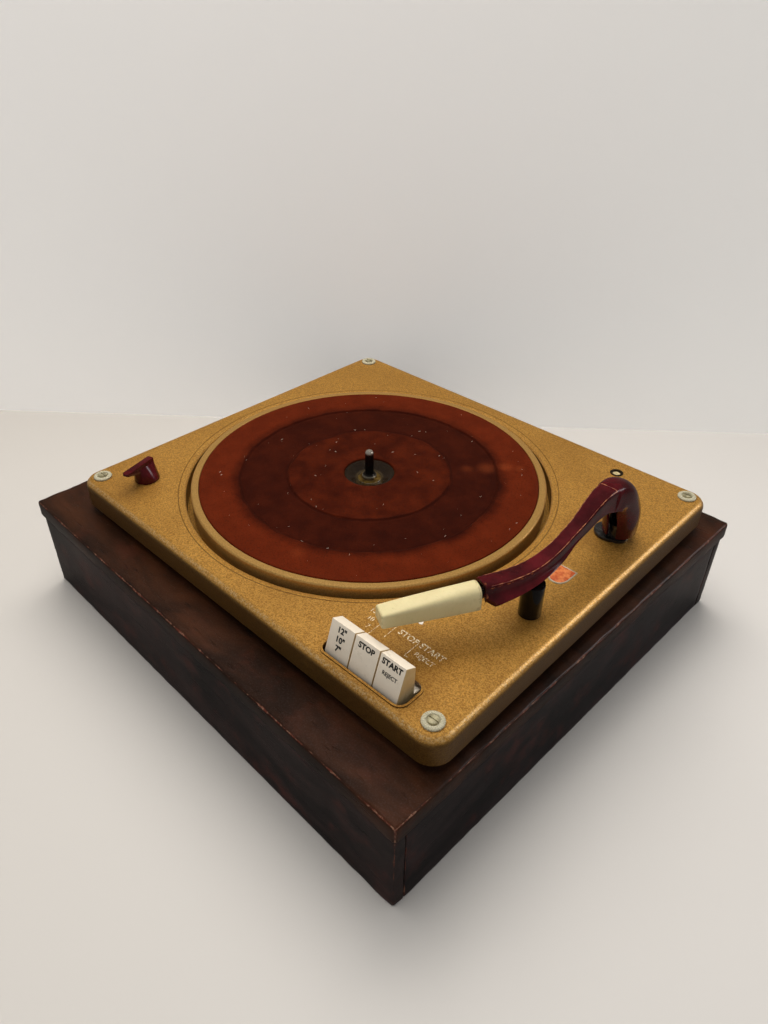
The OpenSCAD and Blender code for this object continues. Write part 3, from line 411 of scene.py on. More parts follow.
def rounded_edges(mesh, soften, segments, sharp, strip=-1):
    holder = linked("rounding", mesh)
    bevel = holder.modifiers.new("soften", "BEVEL")
    bevel.width, bevel.segments, bevel.angle_limit = soften * MM, segments, math.radians(sharp)
    bevel.limit_method, bevel.material = "ANGLE", strip
    return evaluated(holder)


def dressed(node, material, soften=0.3, sharp=35, segments=3):
    """A copy of a node with its loose triangles joined and its sharp edges rounded."""
    form = bmesh.new()
    form.from_mesh(frame["nodes"][node].data)
    bmesh.ops.remove_doubles(form, verts=form.verts, dist=0.00001)
    bmesh.ops.dissolve_limit(form, angle_limit=math.radians(0.4), verts=form.verts, edges=form.edges)
    mesh = bpy.data.meshes.new(node + "_form")
    form.to_mesh(mesh)
    form.free()
    for slot in range(2):
        mesh.materials.append(material)
    mesh.polygons.foreach_set("material_index", [0] * len(mesh.polygons))
    rounded = rounded_edges(mesh, soften, segments, sharp, 1)
    edge = np.ones(len(rounded.vertices))
    for face in rounded.polygons:
        if face.material_index == 0:
            edge[list(face.vertices)] = 0
        face.material_index = 0
    return settle(wrap(node + "_piece", mark_edges(rounded, edge), material, 32), node)


def bare(place):
    grain, pores, blotches = place.effect(wood_grain, Along=(14, 14, 1.2))
    body = grain.rise(0.3, 0.7).between("8c6a42", "b08b5c").over(pores * 0.5, "5d4128")
    return body.over(blotches * 0.5, "6c5238"), None, grain.relief(0.5, 0.3)


def rubbery(place):
    return place.dusty(500.0, 0.4).between("242321", "5b5752"), None, place.cloud(1500.0).relief(0.25, 0.1)


raw_wood = finish("bare_softwood", bare, Roughness=0.72)
rubber = finish("rubber", rubbery, Roughness=0.75)
for node, material, soften in (("plinth_back_board", board_wood, 0.8), ("corner_blocks", raw_wood, 0.6),
                               ("cable_grommet", rubber, 0.4)):
    dressed(node, material, soften)


# Deck plate: one pressing of sheet steel with a rolled edge, a round well for the platter and a
# raised lip round the keys, stove enamelled in a gold hammer finish that has gone smoky.
DECK_PLACE, DECK_TURN = Vector((11.7, 2.5, 116.2)), math.radians(1.4)
PLATTER_AT = Vector((-24.2, -0.5, 0))
WELL_STEP, WELL_LIP = 0.1542, (0.1536, 0.1545)
SMOKE = (((-142, -146, 0), 4, 26, 0.35), ((150, 66, 0), 10, 34, 0.35), ((165, -52, 0), 6, 22, 0.35),
         ((125, -140, 0), 24, 52, 0.25))
deck_matrix = Matrix.Translation(DECK_PLACE) @ Matrix.Rotation(DECK_TURN, 4, "Z")


def on_deck(points, at=(0, 0, 0)):
    shift = Vector(at)
    return [deck_matrix @ (Vector(p) + shift) for p in points]


def deck_metres(point):
    return tuple(on_deck([point])[0] * MM)


def near(place, centre, low, high):
    """1 close to a point of the deck, in millimetres, and 0 past the outer distance."""
    return 1.0 - place.vector("DISTANCE", deck_metres(centre), "Value").rise(low * MM, high * MM)


def fill_hammer(place, pitch):
    cells = place.node("ShaderNodeTexVoronoi", {"Vector": place, "Scale": pitch, "Smoothness": 0.6},
                       "Distance", feature="SMOOTH_F1")
    flow = place.cloud(pitch * 0.55, 4.0, 0.6)
    fine = place.cloud(pitch * 2.6, 2.0, 0.6)
    return flow * 0.7 + fine * 0.3, cells * 0.9 + flow * 0.6, fine.rise(0.62, 0.74)


hammer = new_effect("hammer finish", {"Pitch": 620.0}, ["Tone", "Height", "Glint"], fill_hammer)


def gold(dark, mid, bright, pitch, depth, smoky=0.0):
    """Gold enamel. The deck's own coat is smoky, with painted shade down its skirt, and worn bright at its
    crest, with a painted highlight along it.
    """
    def paint(place):
        tone, height, glint = place.effect(hammer, Pitch=pitch)
        body = tone.rise(0.36, 0.62).between(dark, mid).over(glint * 0.7, bright)
        if smoky:
            body = body.over(place.cloud(9.0, 4.0, 0.55).rise(0.45, 0.75) * smoky, "8a5c22")
            for spot, inner, outer, share in SMOKE:
                body = body.over(near(place, spot, inner, outer) * share, "6e4312")
            # Painted shade: faces far from level, the skirt most of all, are painted dark brown.
            upright = place.surface("True Normal").upright()
            body = body.over((1.0 - upright.rise(0.25, 0.6)) * 0.75, "33220e")
            # The crest of the rolled edge is painted pale in broken patches: worn paint, with a painted
            # highlight along the bend.
            crest_wear_and_highlight = upright.rise(0.45, 0.7) * (1.0 - upright.rise(0.86, 0.97))
            body = body.over(crest_wear_and_highlight * place.cloud(700.0, 5.0, 0.75).rise(0.42, 0.66) * 0.42, "f8e2b0")
            away = place.vector("DISTANCE", deck_metres(PLATTER_AT), "Value")
            # Painted shade: a thin dark ring where the deck steps down into the well.
            step = 1.0 - abs(away - WELL_STEP).rise(0.0002, 0.0006)
            body = body.over(step * 0.6, "4a2f10")
            height = height - away.rise(*WELL_LIP) * -2.0
        return body, tone * 0.25 + 0.2, height.relief(0.6, depth)
    return paint


deck_gold = finish("gold_hammer", gold("a26d2b", "dfa64d", "ffe6a6", 1700.0, 0.2, 0.3),
                   Metallic=0.56, Coat_Weight=0.06, Coat_Roughness=0.3)


def coat(node, material):
    """Puts the finish on a node that keeps its own form."""
    mesh = frame["nodes"][node].data
    if not mesh.materials:
        mesh.materials.append(material)
    for slot in frame["nodes"][node].material_slots:
        slot.material = material


coat("deck_plate", deck_gold)


# Printed words on the deck: pale silver transfers, mostly rubbed away, that repeat the keys.
# They are thin letters laid on the paint, with a leader line to each key.
def mottled(dark, light, scale, detail=3.0, rough=0.5, step=None):
    """Two colours in patches, with a sharper border where a step is given."""
    def paint(place):
        patch = place.cloud(scale, detail, rough)
        return [(patch.rise(*step) if step else patch).between(dark, light)]
    return paint


silver_print = finish("rubbed_print", mottled("a87a3c", "e9dcb8", 900.0, 3.0, 0.7, (0.42, 0.56)),
                      Roughness=0.45, Metallic=0.2)


def letters(words, height, matrix, raised=0.05, bold=0.0):
    """Mesh points and faces of a word, its middle on the matrix's origin, in millimetres."""
    curve = bpy.data.curves.new(words, "FONT")
    curve.body, curve.align_x, curve.align_y = words, "CENTER", "CENTER"
    curve.size, curve.extrude, curve.resolution_u, curve.offset = height, raised, 3, bold
    mesh = evaluated(linked(words, curve))
    return [matrix @ v.co for v in mesh.vertices], [list(face.vertices) for face in mesh.polygons]


def joined(name, parts, material):
    points, faces = [], []
    for part_points, part_faces in parts:
        faces += [[i + len(points) for i in face] for face in part_faces]
        points += list(part_points)
    return solid(name, points, faces, material)


def stacked(rings, cap_first=True, cap_last=True):
    """Points and faces of a skin through rings of equal count."""
    count = len(rings[0])
    faces = [[here + j, here + (j + 1) % count, here + count + (j + 1) % count, here + count + j]
             for here in range(0, (len(rings) - 1) * count, count) for j in range(count)]
    if cap_first:
        faces.append(list(range(count))[::-1])
    if cap_last:
        faces.append([(len(rings) - 1) * count + j for j in range(count)])
    return [p for ring in rings for p in ring], faces


def prism(outline, low, high, matrix):
    """A straight block over an outline, in millimetres."""
    return stacked([[matrix @ Vector((x, y, z)) for x, y in outline] for z in (low, high)])


def bar(start, end, width, low, high):
    """A thin straight line on the deck."""
    start, end = Vector(start), Vector(end)
    way = (end - start).normalized()
    side = Vector((-way.y, way.x)) * width / 2
    return prism([start + side, start - side, end - side, end + side], low, high, deck_matrix)


DECK_WORDS = (("STOP", 124.2, -115.6, 6.6), ("START", 143.6, -115.4, 6.6), ("REJECT", 143.8, -123.2, 4.8),
              ("12", 91.5, -113.4, 5.0), ("10", 95.2, -120.0, 5.0), ("7", 98.4, -126.4, 5.0))
DECK_LINES = (((112.9, -126.4), (112.3, -114.6)), ((112.3, -114.6), (114.3, -113.9)),
              ((132.6, -129.0), (132.3, -114.9)), ((132.6, -129.0), (135.1, -128.6)),
              ((103.5, -131.0), (103.2, -112.0)))
WORD_HEIGHT, LINE_WIDE, LINE_THICK = 0.04, 0.35, 0.09
print_parts = [letters(words, height, deck_matrix @ Matrix.Translation((x, y, WORD_HEIGHT)), bold=0.06)
               for words, x, y, height in DECK_WORDS]
print_parts += [bar(*line, LINE_WIDE, 0.0, LINE_THICK) for line in DECK_LINES]
attach(joined("deck_lettering", print_parts, silver_print), "deck")
FLAKE = [(118.9, -101.3), (121.2, -101.9), (122.9, -101.0), (122.1, -99.2), (120.9, -97.6), (119.9, -98.9)]
bare_primer = finish("bare_primer", mottled("f2ede2", "b9a88c", 900.0), Roughness=0.6)
attach(solid("bare_flake", *prism(FLAKE, 0.0, 0.12, deck_matrix), bare_primer), "deck")


# Badge: a small enamelled shield plate riveted flat beside the arm. Its field is left plain.
def pressed_metal(dark, light, scale, depth):
    def paint(place):
        patch = place.cloud(scale, 5.0, 0.6)
        body = patch.rise(0.3, 0.7).between(dark, light)
        return (body.over(place.worn(300.0, 0.5) * 0.5, "dedad2"), patch * 0.35 + 0.2,
                place.cloud(scale * 8, 3.0).relief(0.2, depth))
    return paint


enamel = finish("badge_field", mottled("b04a22", "d98045", 260.0, 3.0, 0.6, (0.35, 0.7)),
                Roughness=0.22, Coat_Weight=0.5, Coat_Roughness=0.1)
badge_metal = finish("badge_border", pressed_metal("b9a98a", "e0d6bd", 200.0, 0.05), Metallic=0.5)
BADGE_AT, BADGE_HALF, BADGE_TALL = (159.55, 2.7), 7.5, 20.0


def shield_ring(inset, z):
    """Outline of the shield on the deck, drawn in from its edge."""
    wide, top, foot = BADGE_HALF - inset, BADGE_TALL / 2 - inset, -(BADGE_TALL / 2) + 1.4 * inset
    ring = [(wide, top), (-wide, top), (-wide, 0.0)]
    for t in np.linspace(0.0, 1.0, 9)[1:]:
        x = -wide * math.cos(t * math.pi / 2) ** 0.75 if t < 1 else 0.0
        ring.append((x, foot * math.sin(t * math.pi / 2)))
    ring += [(-x, y) for x, y in ring[-2:1:-1]]
    return on_deck([(x + BADGE_AT[0], y + BADGE_AT[1], z) for x, y in ring])


BADGE_RIM = ((0, 0.0), (0, 0.45), (0.15, 0.6), (0.85, 0.6), (1.0, 0.42))
BADGE_FIELD = ((0.95, 0.05), (0.95, 0.44), (1.3, 0.5))
rim_form = stacked([shield_ring(*ring) for ring in BADGE_RIM], cap_last=False)
settle(solid("badge_rim", *rim_form, badge_metal, 60), "bare_badge")
field_form = stacked([shield_ring(*ring) for ring in BADGE_FIELD])
attach(solid("badge_enamel_field", *field_form, enamel, 60), "deck")


# Corner fixings: at each corner a ribbed cup washer of clear plastic gone yellow holds a slotted
# screw, which passes through a coil spring to a nut under the plinth, so the deck floats.
def geometry_tree(name, source, inputs, build):
    """A Geometry Nodes tree with named inputs; what build gives is made real and painted."""
    tree = bpy.data.node_groups.new(name, "GeometryNodeTree")
    sockets = {label: tree.interface.new_socket(label, in_out="INPUT", socket_type="NodeSocket" + kind)
               for label, kind in {source: "Geometry", **inputs, "Finish": "Material"}.items()}
    tree.interface.new_socket("Made", in_out="OUTPUT", socket_type="NodeSocketGeometry")
    given = tree.nodes.new("NodeGroupInput").outputs
    real = put(tree, "GeometryNodeRealizeInstances", {"Geometry": build(tree, given)})
    painted = put(tree, "GeometryNodeSetMaterial", {"Geometry": real.outputs[0], "Material": given["Finish"]})
    tree.links.new(painted.outputs[0], tree.nodes.new("NodeGroupOutput").inputs[0])
    return tree, sockets


def four_corners(tree, given):
    grid = put(tree, "GeometryNodeMeshGrid", {"Size X": given["Across"], "Size Y": given["Deep"],
                                              "Vertices X": 2, "Vertices Y": 2})
    four = put(tree, "GeometryNodeInstanceOnPoints", {"Points": grid.outputs["Mesh"],
                                                      "Instance": given["Fixing"]})
    return put(tree, "GeometryNodeTransform", {"Geometry": four.outputs[0], "Translation": given["Middle"],
                                               "Rotation": given["Turn"]}).outputs[0]


def coils(tree, given):
    spiral = put(tree, "GeometryNodeCurveSpiral", {
        "Resolution": 20, "Rotations": given["Turns"], "Start Radius": given["Coil"],
        "End Radius": given["Coil"], "Height": given["Height"]})
    wire = put(tree, "GeometryNodeCurvePrimitiveCircle", {"Resolution": 8, "Radius": given["Wire"]})
    wound = put(tree, "GeometryNodeCurveToMesh", {
        "Curve": spiral.outputs[0], "Profile Curve": wire.outputs[0], "Fill Caps": True})
    return put(tree, "GeometryNodeInstanceOnPoints", {
        "Points": given["Feet"], "Instance": wound.outputs[0]}).outputs[0]


corners_tree = geometry_tree("at four corners", "Fixing", {
    "Across": "Float", "Deep": "Float", "Turn": "Vector", "Middle": "Vector"}, four_corners)
coil_tree = geometry_tree("coils on points", "Feet", {
    "Coil": "Float", "Wire": "Float", "Height": "Float", "Turns": "Float"}, coils)


def grown(name, base, tree_and_sockets, values, material):
    """Runs a tree on a mesh and keeps what it makes as a plain piece."""
    tree, sockets = tree_and_sockets
    holder = linked(name + "_seed", base)
    modifier = holder.modifiers.new("repeat", "NODES")
    modifier.node_group = tree
    for label, value in {**values, "Finish": material}.items():
        modifier[sockets[label].identifier] = value
    return wrap(name, evaluated(holder), material)


def closed_form(name, points, faces):
    """A mesh in metres with its doubles merged and its faces outwards."""
    mesh = bpy.data.meshes.new(name)
    mesh.from_pydata([metres(p) for p in points], [], faces)
    form = bmesh.new()
    form.from_mesh(mesh)
    bmesh.ops.remove_doubles(form, verts=form.verts, dist=0.000002)
    bmesh.ops.dissolve_degenerate(form, edges=form.edges, dist=0.000001)
    bmesh.ops.recalc_face_normals(form, faces=form.faces)
    form.to_mesh(mesh)
    form.free()
    return mesh


def eased(profile, radius, steps=3):
    """The closed outline with its corners rounded; points on the axis stay sharp."""
    out = []
    for i, here in enumerate(profile):
        before, after = Vector(profile[i - 1]), Vector(profile[(i + 1) % len(profile)])
        here = Vector(here)
        reach = min(radius, 0.4 * (here - before).length, 0.4 * (after - here).length)
        if here.x < 1e-6 or reach < 1e-3:
            out.append(tuple(here))
            continue
        a, b = here + (before - here).normalized() * reach, here + (after - here).normalized() * reach
        for t in np.linspace(0, 1, steps + 1):
            out.append(tuple((1 - t) ** 2 * a + 2 * t * (1 - t) * here + t * t * b))
    return out


def turned(profile, sections=96, wave=None, at=(0, 0, 0), ease=0.3):
    """Points and faces of a closed outline [radius, height] spun round the upright axis."""
    ring = eased(profile, ease) if ease else [tuple(p) for p in profile]
    points, count = [], len(ring)
    for k in range(sections):
        turn = 2 * math.pi * k / sections
        for r, z in ring:
            out = r + (wave(turn, r, z) if wave else 0.0)
            points.append((at[0] + out * math.cos(turn), at[1] + out * math.sin(turn), at[2] + z))
    faces = []
    for k in range(sections):
        here, there = k * count, (k + 1) % sections * count
        faces += [[here + i, there + i, there + (i + 1) % count, here + (i + 1) % count]
                  for i in range(count)]
    return points, faces


def yellowed(place):
    patch = place.cloud(700.0, 3.0, 0.6)
    return patch.between("f1e8cb", "c9bf97"), patch * 0.3 + 0.1, patch.relief(0.4, 0.12)


clear_plastic = finish("clear_yellowed", yellowed, IOR=1.49, Transmission_Weight=0.4)
zinc = finish("zinc_plate", pressed_metal("7d7b76", "b9b6ae", 220.0, 0.04), Metallic=0.85)
old_steel = finish("old_steel", pressed_metal("3a3733", "6b6660", 260.0, 0.05), Metallic=0.8)
nickel = finish("nickel_plate", pressed_metal("8b8265", "cbc09b", 260.0, 0.05), Metallic=0.45)
brass = finish("brass", pressed_metal("6d5224", "b8934a", 240.0, 0.04), Metallic=0.85)
CUP_AT, CUP_RIBS = (178.45, 154.9), 28
NUT_TOP, SPRING_FOOT, SCREW_LOW = -44.7, -28.7, -29.4 - 15.3 - 7


def at_corners(name, points, faces, material, node):
    values = {"Across": 2 * CUP_AT[0] * MM, "Deep": 2 * CUP_AT[1] * MM, "Turn": (0.0, 0.0, DECK_TURN),
              "Middle": tuple(DECK_PLACE * MM)}
    return settle(grown(name, closed_form(name, points, faces), corners_tree, values, material), node)


def carved(mesh, cutters):
    """The mesh, in metres, with each closed cutter taken away."""
    target, tools = linked("carving", mesh), []
    for points, faces in cutters:
        tools.append(linked("carving_tool", closed_form("carving_tool", points, faces)))
        cut = target.modifiers.new("cut", "BOOLEAN")
        cut.object, cut.operation, cut.solver = tools[-1], "DIFFERENCE", "EXACT"
    return evaluated(target, *tools)


def ribbed(turn, r, z):
    return 0.32 * max(0.0, math.cos(CUP_RIBS * turn)) ** 2 if r > 6.3 and z < 1.7 else 0.0


def notched(x, y, z):
    """The ribs run over the cup's upper edge as shallow notches."""
    if z <= 1.3 or math.hypot(x, y) <= 4.3:
        return x, y, z
    return x, y, z - 0.3 * max(0.0, math.cos(CUP_RIBS * math.atan2(y, x))) ** 2


CUP_PROFILE = [(2.25, 0.0), (7.0, 0.0), (7.0, 1.4), (6.2, 2.05), (5.2, 2.2), (4.4, 2.1), (3.9, 1.3),
               (3.9, 1.0), (2.25, 1.0)]
cup_points, cup_faces = turned(CUP_PROFILE, 168, ribbed, ease=0.25)
at_corners("cup_washer_set", [notched(*p) for p in cup_points], cup_faces, clear_plastic, "cup_washers")


def screw_form(head_r, head_low, head_top, shank_r, low, count=40):
    """A cheese-head screw before its slot is cut."""
    shape = [(shank_r - 0.3, low), (shank_r, low + 0.4), (shank_r, head_low), (head_r, head_low),
             (head_r, head_top - 0.5), (head_r - 0.15, head_top - 0.15), (head_r - 0.5, head_top)]
    turns = [2 * math.pi * k / count for k in range(count)]
    return stacked([[(r * math.cos(t), r * math.sin(t), z) for t in turns] for r, z in shape])


SLOT_HALF, SLOT_FLOOR, SLOT_OUT = 0.45, 1.7, 5
slot = prism([(-SLOT_OUT, -SLOT_HALF), (SLOT_OUT, -SLOT_HALF), (SLOT_OUT, SLOT_HALF), (-SLOT_OUT, SLOT_HALF)],
             SLOT_FLOOR, 3.5, Matrix())
screw = carved(closed_form("screw_blank", *screw_form(3.5, 1.0, 2.6, 2.0, SCREW_LOW)), [slot])
at_corners("corner_screw_set", [v.co / MM for v in screw.vertices],
           [list(f.vertices) for f in screw.polygons], nickel, "corner_screws")


def nut_form(bore, across, low, high, collar):
    """A hexagon nut with a round collar against the wood."""
    def ring(r, z, six=False):
        points = []
        for t in np.linspace(0, 2 * math.pi, 48, endpoint=False):
            out = r / (math.cos((t + math.pi / 6) % (math.pi / 3) - math.pi / 6) if six else 1)
            points.append((out * math.cos(t), out * math.sin(t), z))
        return points
    return stacked([ring(bore, high), ring(collar, high), ring(collar, high - 1.0),
                    ring(across, high - 1.0, True), ring(across, low + 0.4, True),
                    ring(across - 0.35, low, True), ring(bore, low), ring(bore, high)], False, False)


nut_points, nut_faces = nut_form(2.01, 3.4, -4.2, 0.0, 5.5)
at_corners("corner_nut_set", [(x, y, z + NUT_TOP) for x, y, z in nut_points], nut_faces, brass, "corner_nuts")


def coil_springs(name, feet, node, coil, wire, height, turns):
    seeds = bpy.data.meshes.new("spring_feet")
    seeds.from_pydata([deck_metres(p) for p in feet], [], [])
    values = {"Coil": coil * MM, "Wire": wire * MM, "Height": height * MM, "Turns": turns}
    return settle(grown(name, seeds, coil_tree, values, zinc), node)


corner_feet = [(sx * CUP_AT[0], sy * CUP_AT[1], SPRING_FOOT) for sx in (-1, 1) for sy in (-1, 1)]
coil_springs("suspension_spring_set", corner_feet, "suspension_springs", 5.4, 0.7, 26.8, 6.0)
transit_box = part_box("transit_screw")
TRANSIT_TOP = (*[(low + high) / 2 for low, high in zip(*transit_box)][:2], transit_box[1][2])


def transit_brass(place):
    """Bright polished head; the ring round it is painted dark as the shade of the hole it sits in."""
    # Painted shade: everything outside the head takes the dark colour of the recess.
    head = 1.0 - place.vector("DISTANCE", TRANSIT_TOP, "Value").rise(0.0030, 0.0036)
    body = place.cloud(300.0).between("1d140a", "35260f")
    return (body.over(head, place.cloud(500.0).between("d9bf7d", "f4e3b4")), 0.45 - head * 0.2,
            place.cloud(400.0).relief(0.2, 0.05))


dressed("transit_screw", finish("transit_brass", transit_brass, Metallic=0.4), 0.15)


# Platter: a pressed steel dish with a rolled rim in smooth gold enamel, on a bronze bush that
# turns on the fixed bearing shaft. Its middle is a bare dished boss gone brown.
def spun(name, profile, material, node, sections, ease, smooth=40):
    mesh = closed_form(name, *turned(profile, sections, None, tuple(PLATTER_AT), ease))
    for vertex in mesh.vertices:
        vertex.co = on_deck([vertex.co / MM])[0] * MM
    return settle(wrap(name, mesh, material, smooth), node)


def platter_paint(place):
    base, rough, normal = gold("b98a48", "d3a45c", "f0cf92", 1500.0, 0.03)(place)
    boss = near(place, PLATTER_AT, 20.6, 21.2)
    bright = near(place, PLATTER_AT, 10.5, 12.5) * place.cloud(500.0)
    brown = place.cloud(300.0).between("110a05", "271a0a").over(bright, "4e4028")
    return base.over(boss, brown), rough - boss * 0.12, normal, 0.62 - boss * 0.5


platter_gold = finish("platter_enamel", platter_paint, Coat_Weight=0.06, Coat_Roughness=0.3)
PLATTER_PROFILE = [
    (9.6, -2.0), (18.5, 2.6), (20.5, 3.0), (20.5, 1.0), (138.2, 1.0), (138.2, 3.5), (138.6, 3.8),
    (143.1, 3.8), (144.2, 2.8), (144.2, -12), (141.7, -12), (141.7, -0.6), (15.1, -0.6), (12.1, -3.0),
    (12.1, -10), (9.6, -10)]
spun("platter_dish", PLATTER_PROFILE, platter_gold, "platter", 200, 0.45, 30)
for node, metal in {"hub_bush": brass, "bearing_shaft": zinc}.items():
    dressed(node, metal, 0.25)


# Turntable mat: dark red velvet pile glued to a disc, with a wide ring pressed lower. The pile is
# crushed in places, painted lighter as a painted sheen where it leans away, and dotted with pale lint.
PILE_TOP, RING_TOP, RING_EDGES = 4.2, 3.5, (67.0, 105.2)
LEANING_PILE_SHEEN = (((41, 72), 1, 11, 0.22), ((52, 84), 1, 9, 0.26), ((62, 90), 0, 7, 0.2), ((30, 60), 0, 8, 0.15),
           ((14, -112), 0, 9, 0.12))


def velvet(place):
    middle = deck_metres((PLATTER_AT.x, PLATTER_AT.y, PILE_TOP))
    away = place.vector("DISTANCE", middle, "Value") + (place.cloud(40.0, 3.0) - 0.5) * 0.01
    pile = place.cloud(1100.0, 3.0, 0.7)
    crush = place.cloud(55.0, 5.0, 0.6)
    body = crush.rise(0.25, 0.8).between("300d04", "4f1c09")
    ring = away.rise(0.064, 0.069) * (1.0 - away.rise(0.102, 0.108))
    body = body.over(ring * 0.55, "270c06").over(away.rise(0.106, 0.116) * 0.3, "7c2f12")
    # Painted sheen: patches where the pile leans away are painted lighter.
    for spot, inner, reach, share in LEANING_PILE_SHEEN:
        body = body.over(near(place, (*spot, PILE_TOP), inner, reach) * share, "9a4a24")
    # Painted shade: a dark line along each edge of the pressed ring, where the pile steps down.
    for edge_r in RING_EDGES:
        gap = abs(away - edge_r * MM)
        body = body.over((1.0 - gap.rise(0.0004, 0.0022)) * 0.45, "1d0805")
    body = body.over(pile.rise(0.35, 0.7) * 0.4, "9a4a20", "SOFT_LIGHT")
    return body.over(pile.rise(0.55, 0.35) * 0.45, "160503"), None, (pile + crush * 1.5).relief(0.6, 0.5)


pile = finish("velvet_pile", velvet, Roughness=0.95, Specular_IOR_Level=0.06, Sheen_Weight=0.12,
              Sheen_Roughness=0.4, Sheen_Tint=colour("b8602c"))


def mat_profile():
    """Height of the pile across the mat, from the hub hole to the rim and back underneath."""
    top, low = PILE_TOP, RING_TOP
    return [(20.8, 1.0), (20.8, 3.5), (21.0, 3.9), (21.5, top), *[(r, top) for r in np.linspace(24, 64, 16)],
            (65.6, top), (66.2, top + 0.05), (66.8, 3.75), (67.4, low - 0.15), (68.4, low),
            *[(r, low) for r in np.linspace(71, 101, 12)],
            (103.6, low), (104.6, low - 0.2), (105.2, low), (105.8, top - 0.05), (106.6, top + 0.05),
            (108, top), *[(r, top) for r in np.linspace(111, 135, 10)],
            (137.0, top), (137.7, top - 0.25), (137.9, 3.6), (137.9, 1.0)]


def uneven(point):
    p = Vector(point)
    lift = 0.09 * noise.noise(p * 0.16) + 0.05 * noise.noise(p * 0.7) if point[2] > 3 else 0
    return p + Vector((0, 0, lift))


mat_points, mat_faces = turned(mat_profile(), 240, None, tuple(PLATTER_AT), 0)
mat_form = closed_form("velvet_mat", on_deck([uneven(p) for p in mat_points]), mat_faces)
settle(wrap("velvet_mat", mat_form, pile, 50), "platter_mat")


def lint_threads(tree, given):
    points = put(tree, "GeometryNodeDistributePointsOnFaces", {
        "Mesh": given["Pile"], "Density": given["Density"], "Seed": given["Seed"]})
    thread = put(tree, "GeometryNodeCurvePrimitiveLine", {
        "Start": (0, 0, 0), "Direction": (1, 0, 0), "Length": given["Length"]}, mode="DIRECTION")
    section = put(tree, "GeometryNodeCurvePrimitiveCircle", {"Resolution": 5, "Radius": given["Thickness"]})
    tube = put(tree, "GeometryNodeCurveToMesh", {
        "Curve": thread.outputs[0], "Profile Curve": section.outputs[0], "Fill Caps": True})
    turn = put(tree, "FunctionNodeRandomValue", {
        "Min": (0.0, -0.05, 0.0), "Max": (0.0, 0.05, 6.283), "Seed": given["Seed"]}, data_type="FLOAT_VECTOR")
    size = put(tree, "FunctionNodeRandomValue", {2: 0.25, 3: 1.3, "Seed": given["Seed"]}, data_type="FLOAT")
    return put(tree, "GeometryNodeInstanceOnPoints", {
        "Points": points.outputs["Points"], "Instance": tube.outputs[0], "Rotation": turn.outputs[0],
        "Scale": size.outputs[1]}).outputs[0]


def ring_sheet(inner, outer, height, sections=64):
    turns = np.linspace(0, 2 * math.pi, sections, endpoint=False)
    rings = [on_deck([(PLATTER_AT.x + r * math.cos(t), PLATTER_AT.y + r * math.sin(t), height)
                      for t in turns]) for r in (inner, outer)]
    points, faces = stacked(rings, False, False)
    sheet = bpy.data.meshes.new("pile_top")
    sheet.from_pydata([tuple(p * MM) for p in points], [], faces)
    return sheet


lint_tree = geometry_tree("lint on pile", "Pile", {
    "Density": "Float", "Length": "Float", "Thickness": "Float", "Seed": "Int"}, lint_threads)
lint_finish = finish("lint", mottled("b9987c", "efe6da", 90.0), Roughness=0.9)
LINT = {"Density": 1500.0, "Length": 1.5 * MM, "Thickness": 0.09 * MM, "Seed": 7}
attach(grown("mat_lint", ring_sheet(26, 134, 4.32), lint_tree, LINT, lint_finish), "platter")


# Centre spindle: a blackened steel pin, its tip rubbed bright by records, in a ringed collar.
def blackened(place):
    height = place.upright()
    tip = (height + place.cloud(500.0) * 0.002).rise(0.1375, 0.1405)
    foot = 1.0 - height.rise(0.1178, 0.1186)
    body = place.cloud(420.0).between("1a1715", "3a342f").over(foot * 0.7, "a89c86")
    return body.over(tip, "d8c9b8"), None, place.cloud(1500.0).relief(0.15, 0.05)


pin_black = finish("blackened_pin", blackened, Metallic=0.85, Roughness=0.22)
PIN_PROFILE = [(0.0, -14.0), (2.1, -14.0), (2.1, -1.1), (6.0, -1.1), (6.0, 1.3), (5.4, 1.5), (5.2, 2.1),
               (4.6, 2.2), (4.3, 2.7), (3.6, 2.9), (3.6, 21.4), (3.4, 22.4), (2.8, 23.5), (1.9, 24.2),
               (0.9, 24.47), (0.0, 24.5)]
spun("centre_pin", PIN_PROFILE, pin_black, "spindle", 48, 0.2)


# Motor: a laminated core and taped coil between two pressed plates, hung on rubber bushes.
# Its stepped brass pulley drives the rubber-tyred idler, which turns the platter's rim.
def bands(place, pitch):
    """A ramp from 0 to 1 that repeats up the piece."""
    return place.sums("FRACT", place.upright() * pitch)


def laminated(place):
    sheets = bands(place, 1600.0)
    rust = place.cloud(180.0, 5.0, 0.65).rise(0.55, 0.75)
    body = sheets.rise(0.1, 0.5).between("221f1d", "55504a")
    return body.over(rust * 0.6, "5c3a22"), None, sheets.rise(0.0, 0.35).relief(0.6, 0.15)


def taped(place):
    turns = bands(place, 260.0)
    body = place.cloud(150.0, 4.0).between("7b6a35", "b19b58")
    return body.over(1.0 - turns.rise(0.0, 0.12), "4b3f1e"), None, turns.relief(0.5, 0.3)


def plain_plastic(dark, light, scale, rough, dusty):
    def paint(place):
        patch = place.cloud(scale, 4.0, 0.6)
        body = patch.between(dark, light).over(place.dusty(300.0, dusty), "9a938a")
        return body, patch * 0.15 + rough, place.cloud(scale * 6).relief(0.15, 0.05)
    return paint


